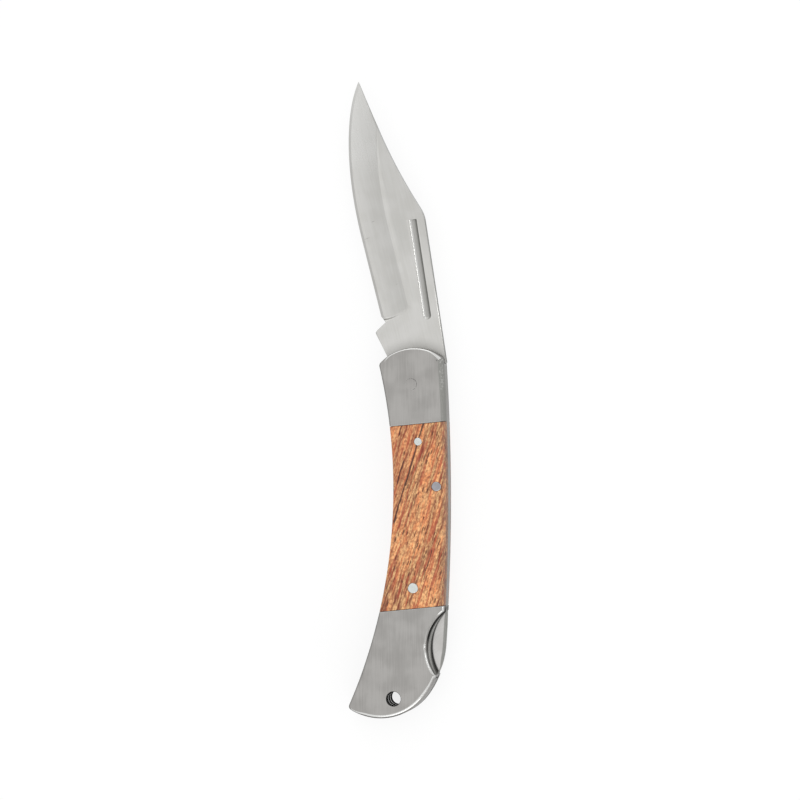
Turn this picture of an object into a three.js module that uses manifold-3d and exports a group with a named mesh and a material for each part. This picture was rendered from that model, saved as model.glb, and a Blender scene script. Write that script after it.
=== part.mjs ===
// Folding lockback pocket knife, open, lying on its right side.
// Millimetres. The blade turns about the Z axis. +Y runs to its tip, +X to the back of the handle,
// and z = 0 is the right face. Left pieces face up and right pieces face down.

import * as THREE from "three";
import { mergeVertices } from "three/addons/utils/BufferGeometryUtils.js";
import Module from "manifold-3d";

// Layers, counted from the right face
const coverThickness = 3.3; // a bolster or a wooden scale
const linerThickness = 1.0;
const bladeThickness = 2.6; // the lock bar is as thick
const sideClearance = 0.1; // blade or lock bar to a liner

// Blade outline, open. A drop is a distance from the pivot towards the cutting edge.
const tipReach = 83.8;
const tipDrop = 15.4;
const tipAngle = 23.7; // degrees between the edge at the tip and Y
const bellyReach = 67.1; // where the edge drops furthest
const bellyDrop = 18.15;
const edgeAngle = 14.2; // degrees between the straight edge and Y
const straightEdge = 22.5; // length of the straight edge, from the heel
const heelReach = 18.7;
const heelDrop = 9.0;
const choilReach = 17.2;
const choilDrop = 7.6;
const kickReach = 14.4; // the kick is the lump that stops the closed blade
const kickDrop = 10.55;
const kickRound = 0.7;
const tangSlope = 26.8; // degrees between the tang's front below the kick and Y
const spineRise = 9.27; // pivot to the spine, at the stop shoulder
const spineAngle = 8.7; // degrees between the spine and Y
const clipReach = 47.1; // where the clip meets the spine
const clipRound = 2; // length of the rounding on each side of that corner
const clipAngle = 32.5; // degrees between the clip and Y, at the spine
const clipTipAngle = 22.7; // the same, at the tip
const clipSway = 0.4; // how far the clip keeps to each of those directions, over its length
const foldAngle = 164; // degrees from open to closed

// Blade grind and nail pull
const grindWidth = 8.1;
const grindStart = 1.2; // heel to the start of the grind
const bevelWidth = 0.8; // the narrow bevel along the edge
const bevelHalfThickness = 0.4;
const edgeHalfThickness = 0.08;
const hollowPower = 1.5; // 1 would be a flat grind
const grindSteps = 24;
const nailPullLength = 27.4;
const nailPullWidth = 2.1;
const nailPullDepth = 0.5;
const nailPullInset = 3.3; // spine to its middle line
const nailPullStart = 12.9; // stop shoulder to its lower end

// Tang
const camRadius = 6.2;
const notchFloor = 4.4; // pivot to the floor of the lock notch
const notchBack = 1.6; // pivot to the rear wall of the notch
const stopReach = 6.0; // pivot to the stop shoulder

// Handle outline
const waistDrop = 4.89; // pivot to the front edge, at the waist
const waistSetback = 28.9;
const frontEdgeRadius = 150;
const backRise = 10.03; // pivot to the back edge, at its crown
const crownSetback = 31.8;
const backEdgeRadius = 590;
const buttRadius = 15.3;
const buttDrop = 8.6; // pivot to the middle of the butt's arc
const buttMargin = 6.86; // swing of the tip to the end of the handle
const shoulderRadius = 27.5; // between the back and the butt
const heelRound = 1.7;
const noseReach = 10.05; // pivot to the crown of the bolster's front arch
const noseRise = 0.9; // pivot to the middle of that arch, towards the back
const noseRadius = 12.95;
const noseRound = 1.3;
const edgeEase = 0.45; // rounding of the outer edges
const backEase = 1.3; // wider rounding along the back of the front bolster and the scale

// Bolsters and scales
const frontSeamSetback = 11.05;
const scaleLength = 50.8;
const seamTilt = 5.6; // degrees
const seamGap = 0.05;

// Pins
const pivotRadius = 1.6;
const rockerRadius = 1.35;
const rockerSetback = 28.1;
const rockerInset = 2.93; // back edge to the rocker pin
const frontRivetRadius = 1.1;
const frontRivetRise = 1.98;
const frontRivetInset = 4.7; // front seam to the front rivet
const rearRivetRadius = 1.45;
const rearRivetRise = 0.59;
const rearRivetInset = 5.75; // rear seam to the rear rivet
const hiddenRivetRadius = 0.9;
const hiddenRivetSink = 1.8; // how deep a hidden rivet enters a bolster
const bolsterRivetRise = 1.0;
const bolsterRivetSetback = 7.3;
const pinGap = 0.05; // all round a pin
const pinSides = 24;

// Lock bar
const noseGap = 0.25; // stop shoulder to the bar
const lugGap = 0.25; // cam to the lug
const lugLength = 3.9;
const frontArmInset = 2.3; // back edge to the inner side of the front arm
const kickGap = 0.3; // closed kick to the bar
const kickRelief = 6.2; // closed kick to where the front arm grows thicker
const frontRamp = 3.1;
const bossWall = 1.35; // round the rocker pin
const padInset = 4.35; // back edge to the inner side of the thumb pad
const padLength = 18.4;
const padRamp = 2.2;
const padCrown = 0.45; // how far the bar stands out of the handle at the thumb pad
const padCrownInset = 1.2; // the bar's rear end to that swell
const padCrownLead = 2; // how far it runs on ahead of the pad
const barEndInset = 11.35; // end of the handle to the rear end of the bar
const barEndGap = 0.2;

// Thumb notch
const releaseInset = 19.55; // end of the handle to the middle of the notch
const releaseDepth = 4.65;
const releaseRadius = 12.7;
const releaseSides = 96;
const linerLedge = 1.35; // how far the liner stands out in the notch
const linerReleaseRadius = 14.3;

// Lanyard hole
const lanyardRadius = 1.98;
const lanyardInset = 5.45; // end of the handle to the middle of the hole
const lanyardDrop = 4.8;
const lanyardSides = 32;

// Butt spacer, its rivets and the lock spring
const pocketGap = 0.8; // closed blade to the spacer
const upperRivetInset = 1.9; // out from the handle's edge
const upperRivetSetback = 2.3; // from the spacer's front face
const lowerRivetInset = 3.4; // end of the handle to the lower rivet
const lowerRivetDrop = 12.0;
const springThickness = 0.7;
const springRise = 0.5; // pivot to the spring's root
const springSeat = 5.5; // how deep the spring sits in the spacer
const springSlotGap = 0.15;
const springTipGap = 0.1; // spring to the thumb pad
const springTipInset = 1.2; // pad's front end to the spring's tip

const arcTolerance = 0.02; // how far a facet may stray from its arc

const wasm = await Module();
wasm.setup();

const pivot = new THREE.Vector2(0, 0);
const handleThickness = 2 * (coverThickness + linerThickness + sideClearance) + bladeThickness;
const middle = handleThickness / 2;

function point(x, y) {
  return new THREE.Vector2(x, y);
}

function direction(from, to) {
  return Math.atan2(to.y - from.y, to.x - from.x);
}

function polar(centre, radius, angle) {
  return point(centre.x + radius * Math.cos(angle), centre.y + radius * Math.sin(angle));
}

// Points along an arc. Its last point is left to the curve that follows.
function arc(centre, radius, from, to, turn = 1) {
  const sweep = THREE.MathUtils.euclideanModulo((to - from) * turn, 2 * Math.PI);
  const steps = Math.max(2, Math.ceil(sweep / (2 * Math.acos(1 - arcTolerance / radius))));
  return Array.from({ length: steps }, (_, i) => polar(centre, radius, from + (turn * sweep * i) / steps));
}

// Where two circles cross, on the left (side 1) or the right (side -1) of the line from a to b.
function crossing(a, radiusA, b, radiusB, side) {
  const span = a.distanceTo(b);
  const along = (span ** 2 + radiusA ** 2 - radiusB ** 2) / (2 * span);
  const aside = side * Math.sqrt(radiusA ** 2 - along ** 2);
  const unit = b.clone().sub(a).divideScalar(span);
  return point(a.x + unit.x * along - unit.y * aside, a.y + unit.y * along + unit.x * aside);
}

function solid(geometry) {
  const bare = geometry.clone();
  bare.deleteAttribute("normal");
  bare.deleteAttribute("uv");
  const merged = mergeVertices(bare, 1e-4);
  return new wasm.Manifold(
    new wasm.Mesh({
      numProp: 3,
      vertProperties: merged.attributes.position.array,
      triVerts: new Uint32Array(merged.index.array),
    }),
  );
}

// A plate with the given outline, from z = low to z = high.
function plate(outline, low, high) {
  const geometry = new THREE.ExtrudeGeometry(new THREE.Shape(outline), {
    depth: high - low,
    bevelEnabled: false,
  });
  return solid(geometry.translate(0, 0, low));
}

// The same from z = 0, with the edges of both faces rounded.
function easedPlate(outline, thickness, ease, segments) {
  const geometry = new THREE.ExtrudeGeometry(new THREE.Shape(outline), {
    depth: thickness - 2 * ease,
    bevelThickness: ease,
    bevelSize: ease,
    bevelOffset: -ease,
    bevelSegments: segments,
  });
  return solid(geometry.translate(0, 0, ease));
}

function rodGeometry(radius, length, sides = pinSides) {
  return new THREE.CylinderGeometry(radius, radius, length, sides).rotateX(Math.PI / 2);
}

// A cutter that bores right through the handle.
function bore(centre, radius, sides = pinSides) {
  return solid(rodGeometry(radius, 2 * handleThickness, sides).translate(centre.x, centre.y, middle));
}

function pinBore(pin) {
  return bore(pin, pin.radius + pinGap);
}

// Blade outline, by its corners

const tip = point(-tipDrop, tipReach);
const heel = point(-heelDrop, heelReach);
const choil = point(-choilDrop, choilReach);
const kick = point(-kickDrop, kickReach);
const tipRadius = tip.length();
const edgeSlope = THREE.MathUtils.degToRad(edgeAngle);
const spineSlope = THREE.MathUtils.degToRad(spineAngle);
const spineBase = point(spineRise, stopReach);
const clipCorner = point(spineRise - (clipReach - stopReach) * Math.tan(spineSlope), clipReach);
const straightEnd = point(
  heel.x - straightEdge * Math.sin(edgeSlope),
  heel.y + straightEdge * Math.cos(edgeSlope),
);
const belly = point(-bellyDrop, bellyReach);
const bellyControl = point(-bellyDrop, straightEnd.y + (straightEnd.x + bellyDrop) / Math.tan(edgeSlope));
const tipControl = point(
  -bellyDrop,
  tip.y - (tip.x + bellyDrop) / Math.tan(THREE.MathUtils.degToRad(tipAngle)),
);

function closed(place) {
  return place.clone().rotateAround(pivot, THREE.MathUtils.degToRad(foldAngle));
}

// The direction that leans from +Y towards the edge by the given degrees.
function leaning(angle) {
  const turn = THREE.MathUtils.degToRad(angle);
  return point(-Math.sin(turn), Math.cos(turn));
}

// From the spine round the corner and along the clip to the tip.
function clipPoints() {
  const before = clipCorner.clone().addScaledVector(leaning(spineAngle), -clipRound);
  const start = clipCorner.clone().addScaledVector(leaning(clipAngle), clipRound);
  const sway = clipSway * start.distanceTo(tip);
  const controls = [
    start.clone().addScaledVector(leaning(clipAngle), sway),
    tip.clone().addScaledVector(leaning(clipTipAngle), -sway),
  ];
  return [
    ...new THREE.QuadraticBezierCurve(before, clipCorner, start).getPoints(3),
    ...new THREE.CubicBezierCurve(start, ...controls, tip).getPoints(9).slice(1),
  ];
}

function kickCurve() {
  const tangFoot = kick.y - (kick.x + camRadius) / -Math.tan(THREE.MathUtils.degToRad(tangSlope));
  const foot = point(-camRadius, tangFoot);
  const before = kick.clone().addScaledVector(choil.clone().sub(kick).normalize(), kickRound);
  const after = kick.clone().addScaledVector(foot.clone().sub(kick).normalize(), kickRound);
  return { curve: new THREE.QuadraticBezierCurve(before, kick, after), foot };
}

// Round the blade from the stop shoulder over the spine, the tip, the edge and the tang to the notch.
function bladeOutline() {
  const edge = [
    new THREE.QuadraticBezierCurve(tip, tipControl, belly),
    new THREE.QuadraticBezierCurve(belly, bellyControl, straightEnd),
  ];
  const { curve, foot } = kickCurve();
  const notchEdge = Math.asin(notchBack / camRadius);
  return [
    point(notchFloor, stopReach),
    spineBase,
    ...clipPoints(),
    ...edge[0].getPoints(7).slice(1),
    ...edge[1].getPoints(7).slice(1),
    heel,
    choil,
    ...curve.getPoints(4),
    foot,
    ...arc(pivot, camRadius, Math.PI, notchEdge),
    polar(pivot, camRadius, notchEdge),
    point(notchFloor, notchBack),
  ];
}

// What one side's hollow grind and edge bevel take away. Its path is the cutting edge.
function grindCutter(side) {
  const half = bladeThickness / 2;
  const space = (p) => new THREE.Vector3(p.x, p.y, 0);
  const along = straightEnd.clone().sub(heel).normalize();
  const overrun = tip.clone().sub(tipControl).setLength(grindWidth).add(tip);
  const path = new THREE.CurvePath();
  path.add(new THREE.LineCurve3(space(heel.clone().addScaledVector(along, grindStart)), space(straightEnd)));
  path.add(new THREE.QuadraticBezierCurve3(space(straightEnd), space(bellyControl), space(belly)));
  path.add(new THREE.QuadraticBezierCurve3(space(belly), space(tipControl), space(tip)));
  path.add(new THREE.LineCurve3(space(tip), space(overrun)));
  const hollow = [1 / 3, 2 / 3].map((t) => [
    bevelWidth + t * (grindWidth - bevelWidth),
    bevelHalfThickness + t ** hollowPower * (half - bevelHalfThickness),
  ]);
  const section = [
    [-half, edgeHalfThickness],
    [0, edgeHalfThickness],
    [bevelWidth, bevelHalfThickness],
    ...hollow,
    [grindWidth, half],
    [grindWidth, 2 * half],
    [-half, 2 * half],
  ];
  const shape = new THREE.Shape(section.map(([width, height]) => point(-side * height, -width)));
  return solid(new THREE.ExtrudeGeometry(shape, { steps: grindSteps, bevelEnabled: false, extrudePath: path }));
}

// The long groove in the blade's left face, square at the front and round at the back.
function nailPull() {
  const run = point(-Math.sin(spineSlope), Math.cos(spineSlope));
  const half = nailPullWidth / 2;
  const start = spineBase
    .clone()
    .addScaledVector(run, nailPullStart)
    .addScaledVector(point(run.y, -run.x), -nailPullInset);
  const round = start.clone().addScaledVector(run, half);
  const end = start.clone().addScaledVector(run, nailPullLength);
  const across = point(run.y, -run.x).multiplyScalar(half);
  const outline = [
    ...arc(round, half, direction(pivot, across) + Math.PI, direction(pivot, across)),
    round.clone().add(across),
    end.clone().add(across),
    end.clone().sub(across),
  ];
  return plate(outline, bladeThickness / 2 - nailPullDepth, bladeThickness);
}

function bladeBody() {
  return plate(bladeOutline(), -bladeThickness / 2, bladeThickness / 2)
    .subtract(bore(pivot, pivotRadius + pinGap))
    .subtract(grindCutter(1))
    .subtract(grindCutter(-1))
    .subtract(nailPull());
}

// Handle outline: eight arcs, each tangent to the next

const buttReach = tipRadius + buttMargin;
const frontEdge = point(-waistDrop - frontEdgeRadius, -waistSetback);
const backEdge = point(backRise - backEdgeRadius, -crownSetback);
const butt = point(-buttDrop, buttRadius - buttReach);
const nose = point(noseRise, noseReach - noseRadius);
const shoulder = crossing(backEdge, backEdgeRadius - shoulderRadius, butt, shoulderRadius - buttRadius, 1);
const heelCorner = crossing(frontEdge, frontEdgeRadius + heelRound, butt, buttRadius - heelRound, -1);
const backCorner = crossing(backEdge, backEdgeRadius - noseRound, nose, noseRadius - noseRound, 1);
const frontCorner = crossing(frontEdge, frontEdgeRadius + noseRound, nose, noseRadius - noseRound, 1);

const handleOutline = [
  ...arc(heelCorner, heelRound, direction(heelCorner, frontEdge), direction(butt, heelCorner)),
  ...arc(butt, buttRadius, direction(butt, heelCorner), direction(shoulder, butt)),
  ...arc(shoulder, shoulderRadius, direction(shoulder, butt), direction(backEdge, shoulder)),
  ...arc(backEdge, backEdgeRadius, direction(backEdge, shoulder), direction(backEdge, backCorner)),
  ...arc(backCorner, noseRound, direction(backEdge, backCorner), direction(nose, backCorner)),
  ...arc(nose, noseRadius, direction(nose, backCorner), direction(nose, frontCorner)),
  ...arc(frontCorner, noseRound, direction(nose, frontCorner), direction(frontCorner, frontEdge)),
  ...arc(frontEdge, frontEdgeRadius, direction(frontEdge, frontCorner), direction(frontEdge, heelCorner), -1),
];

const beyond = 2 * buttReach; // a size that clears the whole knife

// X of the handle's back edge at a given Y: it lies on the back's, the shoulder's or the butt's arc.
function backAt(y) {
  const backEnd = polar(backEdge, backEdgeRadius, direction(backEdge, shoulder)).y;
  const shoulderEnd = polar(shoulder, shoulderRadius, direction(shoulder, butt)).y;
  const below = y > shoulderEnd ? [shoulder, shoulderRadius] : [butt, buttRadius];
  const [centre, radius] = y > backEnd ? [backEdge, backEdgeRadius] : below;
  return centre.x + Math.sqrt(radius ** 2 - (y - centre.y) ** 2);
}

// The handle with its back rounded more: it is larger than the handle everywhere but along the back.
function roundedBack() {
  const low = Math.asin((-frontSeamSetback - scaleLength - backRise - backEdge.y) / backEdgeRadius);
  const high = Math.asin((noseReach + noseRadius - backEdge.y) / backEdgeRadius);
  const back = arc(backEdge, backEdgeRadius, low, high);
  back.push(polar(backEdge, backEdgeRadius, high));
  const outline = [point(-beyond, back[0].y), ...back, point(-beyond, back.at(-1).y)];
  return easedPlate(outline, handleThickness, backEase, 4);
}

// A band right across the handle between two seams. Each seam is set by its Y on the pivot's line.
function band(low, high) {
  const rise = beyond * Math.tan(THREE.MathUtils.degToRad(seamTilt));
  return plate(
    [
      point(-beyond, low - rise),
      point(beyond, low + rise),
      point(beyond, high + rise),
      point(-beyond, high - rise),
    ],
    -beyond,
    beyond,
  );
}

// Places and radii of the pins

const frontSeam = -frontSeamSetback;
const rearSeam = frontSeam - scaleLength;

function pinAt(x, y, radius) {
  return Object.assign(point(x, y), { radius });
}

const barEnd = barEndInset - buttReach;
const spacerFront = barEnd - barEndGap;
const upperRivetY = spacerFront - upperRivetSetback;
const pins = {
  pivot: pinAt(pivot.x, pivot.y, pivotRadius),
  rocker: pinAt(backAt(-rockerSetback) - rockerInset, -rockerSetback, rockerRadius),
  frontScale: pinAt(frontRivetRise, frontSeam - frontRivetInset, frontRivetRadius),
  rearScale: pinAt(rearRivetRise, rearSeam + rearRivetInset, rearRivetRadius),
  bolster: pinAt(bolsterRivetRise, -bolsterRivetSetback, hiddenRivetRadius),
  upperButt: pinAt(backAt(upperRivetY) - upperRivetInset - hiddenRivetRadius, upperRivetY, hiddenRivetRadius),
  lowerButt: pinAt(-lowerRivetDrop, lowerRivetInset - buttReach, hiddenRivetRadius),
};
const lanyard = point(-lanyardDrop, lanyardInset - buttReach);
const padY = barEnd + padLength; // the thumb pad's front end
const padX = backAt(barEnd + padLength / 2) - padInset; // and its inner side

// The thumb notch: a disc that cuts `depth` into the back of the handle.
function release(depth, radius) {
  const y = releaseInset - buttReach;
  return bore(point(backAt(y) - depth + radius, y), radius, releaseSides);
}

const lanyardBore = bore(lanyard, lanyardRadius, lanyardSides);
const easedHandle = easedPlate(handleOutline, handleThickness, edgeEase, 2);
const roundedHandle = easedHandle.intersect(roundedBack());

// Each side's layers, as [low, high]. The right side mirrors the left.
const linerIn = middle + bladeThickness / 2 + sideClearance;
const linerOut = linerIn + linerThickness;

function layer(side, inner, outer) {
  return side === "left" ? [inner, outer] : [handleThickness - outer, handleThickness - inner];
}

function liner(side) {
  return Object.values(pins)
    .reduce((body, pin) => body.subtract(pinBore(pin)), plate(handleOutline, ...layer(side, linerIn, linerOut)))
    .subtract(lanyardBore)
    .subtract(release(releaseDepth - linerLedge, linerReleaseRadius));
}

function cover(side, body, low, high) {
  return body
    .intersect(band(low, high))
    .intersect(plate(handleOutline, ...layer(side, linerOut, beyond)));
}

// A blind bore in a bolster, for the end of a hidden rivet.
function blindBore(side, pin) {
  return pinBore(pin).intersect(plate(handleOutline, ...layer(side, 0, linerOut + hiddenRivetSink + pinGap)));
}

function frontBolster(side) {
  return cover(side, roundedHandle, frontSeam + seamGap / 2, beyond)
    .subtract(pinBore(pins.pivot))
    .subtract(blindBore(side, pins.bolster));
}

function scale(side) {
  return cover(side, roundedHandle, rearSeam + seamGap / 2, frontSeam - seamGap / 2)
    .subtract(pinBore(pins.frontScale))
    .subtract(pinBore(pins.rocker))
    .subtract(pinBore(pins.rearScale));
}

function rearBolster(side) {
  return cover(side, easedHandle, -beyond, rearSeam - seamGap / 2)
    .subtract(release(releaseDepth, releaseRadius))
    .subtract(lanyardBore)
    .subtract(blindBore(side, pins.upperButt))
    .subtract(blindBore(side, pins.lowerButt));
}

// The thumb pad's flat-topped swell over the back edge, in the notch.
function crown() {
  const low = barEnd + padCrownInset;
  const high = padY + padCrownLead;
  const swell = [1, 3 / 4, 1 / 2, 1 / 4, 0, -1 / 4, -1 / 2, -3 / 4, -1].map((t) => {
    const y = (low + high + t * (high - low)) / 2;
    return point(backAt(y) + padCrown * (1 - t ** 4), y);
  });
  return plate([...swell, point(padX, low), point(padX, high)], 0, handleThickness);
}

// The lock bar rocks on its pin. Its outer side is the handle's back edge, but for the thumb pad.
// The lug stops at the mouth of the tang's notch, so the bar and the blade turn clear of each other.
function lockBar() {
  const noseY = stopReach - noseGap;
  const lugRadius = camRadius + lugGap;
  const lugFloor = notchFloor + lugGap;
  const lugBack = noseY - lugLength;
  const frontArm = backAt(lugBack) - frontArmInset;
  const closedKick = closed(kick);
  const arm = closedKick.x + kickGap;
  const kickFront = closedKick.y + kickRelief;
  const boss = pins.rocker.radius + bossWall;
  const bossEdge = Math.acos((arm - pins.rocker.x) / boss);
  const outline = [
    point(beyond, barEnd),
    point(beyond, noseY),
    point(lugFloor, noseY),
    ...arc(pivot, lugRadius, Math.acos(lugFloor / lugRadius), Math.asin(lugBack / lugRadius), -1),
    polar(pivot, lugRadius, Math.asin(lugBack / lugRadius)),
    point(frontArm, lugBack),
    point(frontArm, kickFront),
    point(arm, kickFront - frontRamp),
    ...arc(pins.rocker, boss, bossEdge, -bossEdge),
    polar(pins.rocker, boss, -bossEdge),
    point(arm, padY + padRamp),
    point(padX, padY),
    point(padX, barEnd),
  ];
  const bar = plate(outline, linerIn - sideClearance - bladeThickness, linerIn - sideClearance);
  return bar.intersect(plate(handleOutline, 0, handleThickness).add(crown())).subtract(pinBore(pins.rocker));
}

// The spacer closes the channel at the butt, behind the bar and behind the swing of the tip.
function buttSpacer() {
  const closedTip = closed(tip);
  const run = closedTip.clone().sub(closed(tipControl)).normalize();
  const aside = point(-run.y, run.x);
  const pocketSide = closedTip.clone().addScaledVector(aside, pocketGap);
  const corner = pocketSide.clone().addScaledVector(run, pocketGap);
  const shoulder = pocketSide.clone().addScaledVector(run, (spacerFront - pocketSide.y) / run.y);
  const outline = [
    point(beyond, spacerFront),
    shoulder,
    ...arc(pivot, corner.length(), direction(pivot, corner), direction(pivot, point(-beyond, -beyond)), -1),
    point(-beyond, -beyond),
    point(beyond, -beyond),
  ];
  const slot = plate(
    [
      point(springRise - springThickness / 2 - springSlotGap, spacerFront - springSeat - springSlotGap),
      point(springRise + springThickness / 2 + springSlotGap, spacerFront - springSeat - springSlotGap),
      point(springRise + springThickness / 2 + springSlotGap, barEnd),
      point(springRise - springThickness / 2 - springSlotGap, barEnd),
    ],
    0,
    handleThickness,
  );
  return plate(outline, handleThickness - linerIn, linerIn)
    .intersect(plate(handleOutline, 0, handleThickness))
    .subtract(lanyardBore)
    .subtract(pinBore(pins.upperButt))
    .subtract(pinBore(pins.lowerButt))
    .subtract(slot);
}

// A leaf spring, rooted in the spacer, that holds the thumb pad out.
function lockSpring() {
  const half = springThickness / 2;
  const root = point(springRise, spacerFront - springSeat);
  const bend = point(springRise, spacerFront);
  const end = point(padX - springTipGap - half, padY - springTipInset);
  const control = point(springRise, (bend.y + end.y) / 2);
  const leaf = [root, ...new THREE.QuadraticBezierCurve(bend, control, end).getPoints(8)];
  const outline = [
    ...leaf.map((p) => point(p.x + half, p.y)),
    ...leaf.reverse().map((p) => point(p.x - half, p.y)),
  ];
  return plate(outline, linerIn - sideClearance - bladeThickness, linerIn - sideClearance);
}

const steel = { color: 0xa5a4a1, roughness: 0.38, metalness: 1 };
const finishes = {
  blade: { color: 0xc5c4c0, roughness: 0.28, metalness: 1 },
  bolster: steel,
  liner: { color: 0xb4b3af, roughness: 0.4, metalness: 1 },
  lock: { color: 0xb9b8b4, roughness: 0.35, metalness: 1 },
  spring: { color: 0x8c8c8c, roughness: 0.35, metalness: 1 },
  pin: { color: 0xd2d1cd, roughness: 0.3, metalness: 1 },
  wood: { color: 0xc58a60, roughness: 0.6, metalness: 0 },
};

function addMesh(group, name, geometry, finish) {
  geometry.computeVertexNormals();
  const mesh = new THREE.Mesh(geometry, new THREE.MeshStandardMaterial(finishes[finish]));
  mesh.name = name;
  group.add(mesh);
  return mesh;
}

function addBody(group, name, body, finish) {
  const { vertProperties, triVerts } = body.getMesh();
  const geometry = new THREE.BufferGeometry();
  geometry.setAttribute("position", new THREE.BufferAttribute(vertProperties, 3));
  geometry.setIndex(new THREE.BufferAttribute(triVerts, 1));
  return addMesh(group, name, geometry, finish);
}

// A pin from z = low to z = high.
function addPin(group, name, pin, low, high) {
  addMesh(group, name, rodGeometry(pin.radius, high - low), "pin").position.set(pin.x, pin.y, (low + high) / 2);
}

const knife = new THREE.Group();
const handle = new THREE.Group();
const blade = new THREE.Group();
blade.position.z = middle;
knife.add(handle, blade);

addBody(blade, "blade", bladeBody(), "blade");
addBody(handle, "lock_bar", lockBar(), "lock");
addBody(handle, "lock_spring", lockSpring(), "spring");
addBody(handle, "butt_spacer", buttSpacer(), "liner");
for (const side of ["left", "right"]) {
  addBody(handle, `${side}_liner`, liner(side), "liner");
  addBody(handle, `${side}_front_bolster`, frontBolster(side), "bolster");
  addBody(handle, `${side}_scale`, scale(side), "wood");
  addBody(handle, `${side}_rear_bolster`, rearBolster(side), "bolster");
  addPin(handle, `${side}_front_scale_rivet`, pins.frontScale, ...layer(side, linerIn, handleThickness));
  addPin(handle, `${side}_rear_scale_rivet`, pins.rearScale, ...layer(side, linerIn, handleThickness));
  addPin(handle, `${side}_bolster_rivet`, pins.bolster, ...layer(side, linerIn, linerOut + hiddenRivetSink));
}
addPin(handle, "pivot_pin", pins.pivot, 0, handleThickness);
addPin(handle, "rocker_pin", pins.rocker, 0, handleThickness);
const hiddenTop = linerOut + hiddenRivetSink;
addPin(handle, "upper_butt_rivet", pins.upperButt, handleThickness - hiddenTop, hiddenTop);
addPin(handle, "lower_butt_rivet", pins.lowerButt, handleThickness - hiddenTop, hiddenTop);

export default knife;
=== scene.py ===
"""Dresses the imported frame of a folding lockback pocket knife, open and lying on its right side.

Shapes are worked out in millimetres, in the frame's own axes: +Y runs to the blade's tip, +X to
the back of the handle and +Z from the right face to the left one. They are scaled to metres last.
"""

import logging
import math
from bisect import bisect_right
from collections.abc import Callable, Iterable, Sequence
from dataclasses import dataclass
from enum import Enum
from functools import cached_property

import bmesh
import bpy
from bmesh.types import BMEdge, BMFace, BMVert
from mathutils import Matrix, Vector
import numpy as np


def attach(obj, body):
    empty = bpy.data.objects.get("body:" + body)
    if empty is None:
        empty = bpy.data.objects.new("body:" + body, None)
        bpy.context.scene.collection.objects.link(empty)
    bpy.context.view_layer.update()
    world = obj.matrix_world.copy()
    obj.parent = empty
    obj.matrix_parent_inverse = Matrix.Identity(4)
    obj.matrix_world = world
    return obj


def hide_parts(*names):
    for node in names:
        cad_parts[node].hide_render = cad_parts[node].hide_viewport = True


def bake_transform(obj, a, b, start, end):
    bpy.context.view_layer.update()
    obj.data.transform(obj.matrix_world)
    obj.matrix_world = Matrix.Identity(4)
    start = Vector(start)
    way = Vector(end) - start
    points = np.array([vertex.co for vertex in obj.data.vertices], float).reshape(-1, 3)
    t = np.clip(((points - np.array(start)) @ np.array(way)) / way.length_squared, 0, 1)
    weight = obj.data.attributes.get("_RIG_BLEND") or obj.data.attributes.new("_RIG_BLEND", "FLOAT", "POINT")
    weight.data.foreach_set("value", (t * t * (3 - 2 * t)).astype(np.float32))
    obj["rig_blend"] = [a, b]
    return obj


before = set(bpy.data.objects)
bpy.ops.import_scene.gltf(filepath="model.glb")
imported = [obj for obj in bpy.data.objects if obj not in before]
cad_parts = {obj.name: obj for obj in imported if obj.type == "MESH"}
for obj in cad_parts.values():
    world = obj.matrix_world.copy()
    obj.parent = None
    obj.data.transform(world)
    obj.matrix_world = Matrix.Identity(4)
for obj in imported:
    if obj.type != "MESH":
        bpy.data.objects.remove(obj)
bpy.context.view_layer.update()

log = logging.getLogger("knife")

MM = 0.001
NEAR = 0.02
Colour = Sequence[int]
Socket = bpy.types.NodeSocket


class Side(Enum):
    """The knife's two sides. The left one faces up."""

    LEFT = "left"
    RIGHT = "right"


class Body(Enum):
    """The frame's moving bodies."""

    HANDLE = "handle"
    BLADE = "blade"
    LOCK_BAR = "lock_bar"


class Slot(Enum):
    """The record's material slots."""

    BLADE = "blade_steel"
    BOLSTER = "bolster_steel"
    LINER = "liner_steel"
    LOCK = "lock_steel"
    SPRING = "spring_steel"
    PIN = "pin_steel"
    SCALE = "scale_wood"


def smoothstep(low: float, high: float, value: float) -> float:
    """Eases from 0 at low to 1 at high."""
    t = min(1.0, max(0.0, (value - low) / (high - low)))
    return t * t * (3 - 2 * t)


def lerp(a: float, b: float, t: float) -> float:
    """Mixes a and b by the share t."""
    return a + (b - a) * t


def point(x: float, y: float) -> Vector:
    """Makes a fixed point in the plane of the blade."""
    return Vector((x, y)).freeze()


def x_on(line: Sequence[Vector], y: float) -> float:
    """Reads the X of a line, whose points climb in Y, at a Y."""
    place = min(max(bisect_right([p.y for p in line], y), 1), len(line) - 1)
    low, high = line[place - 1], line[place]
    return lerp(low.x, high.x, (y - low.y) / (high.y - low.y))


def bezier(steps: int, *controls: Vector) -> list[Vector]:
    """Samples a Bezier curve.

    Args:
        steps: The number of chords.
        *controls: Its control points.

    Returns:
        The curve's points, both ends included.
    """
    points = []
    for i in range(steps + 1):
        level = controls
        while len(level) > 1:
            level = [a.lerp(b, i / steps) for a, b in zip(level, level[1:])]
        points.append(level[0])
    return points


def only(kind: type, things: Iterable) -> list:
    """Picks the things of one kind."""
    return [thing for thing in things if isinstance(thing, kind)]


def added(name: str, data: bpy.types.ID) -> bpy.types.Object:
    """Puts a new object in the scene."""
    thing = bpy.data.objects.new(name, data)
    bpy.context.scene.collection.objects.link(thing)
    return thing


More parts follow.
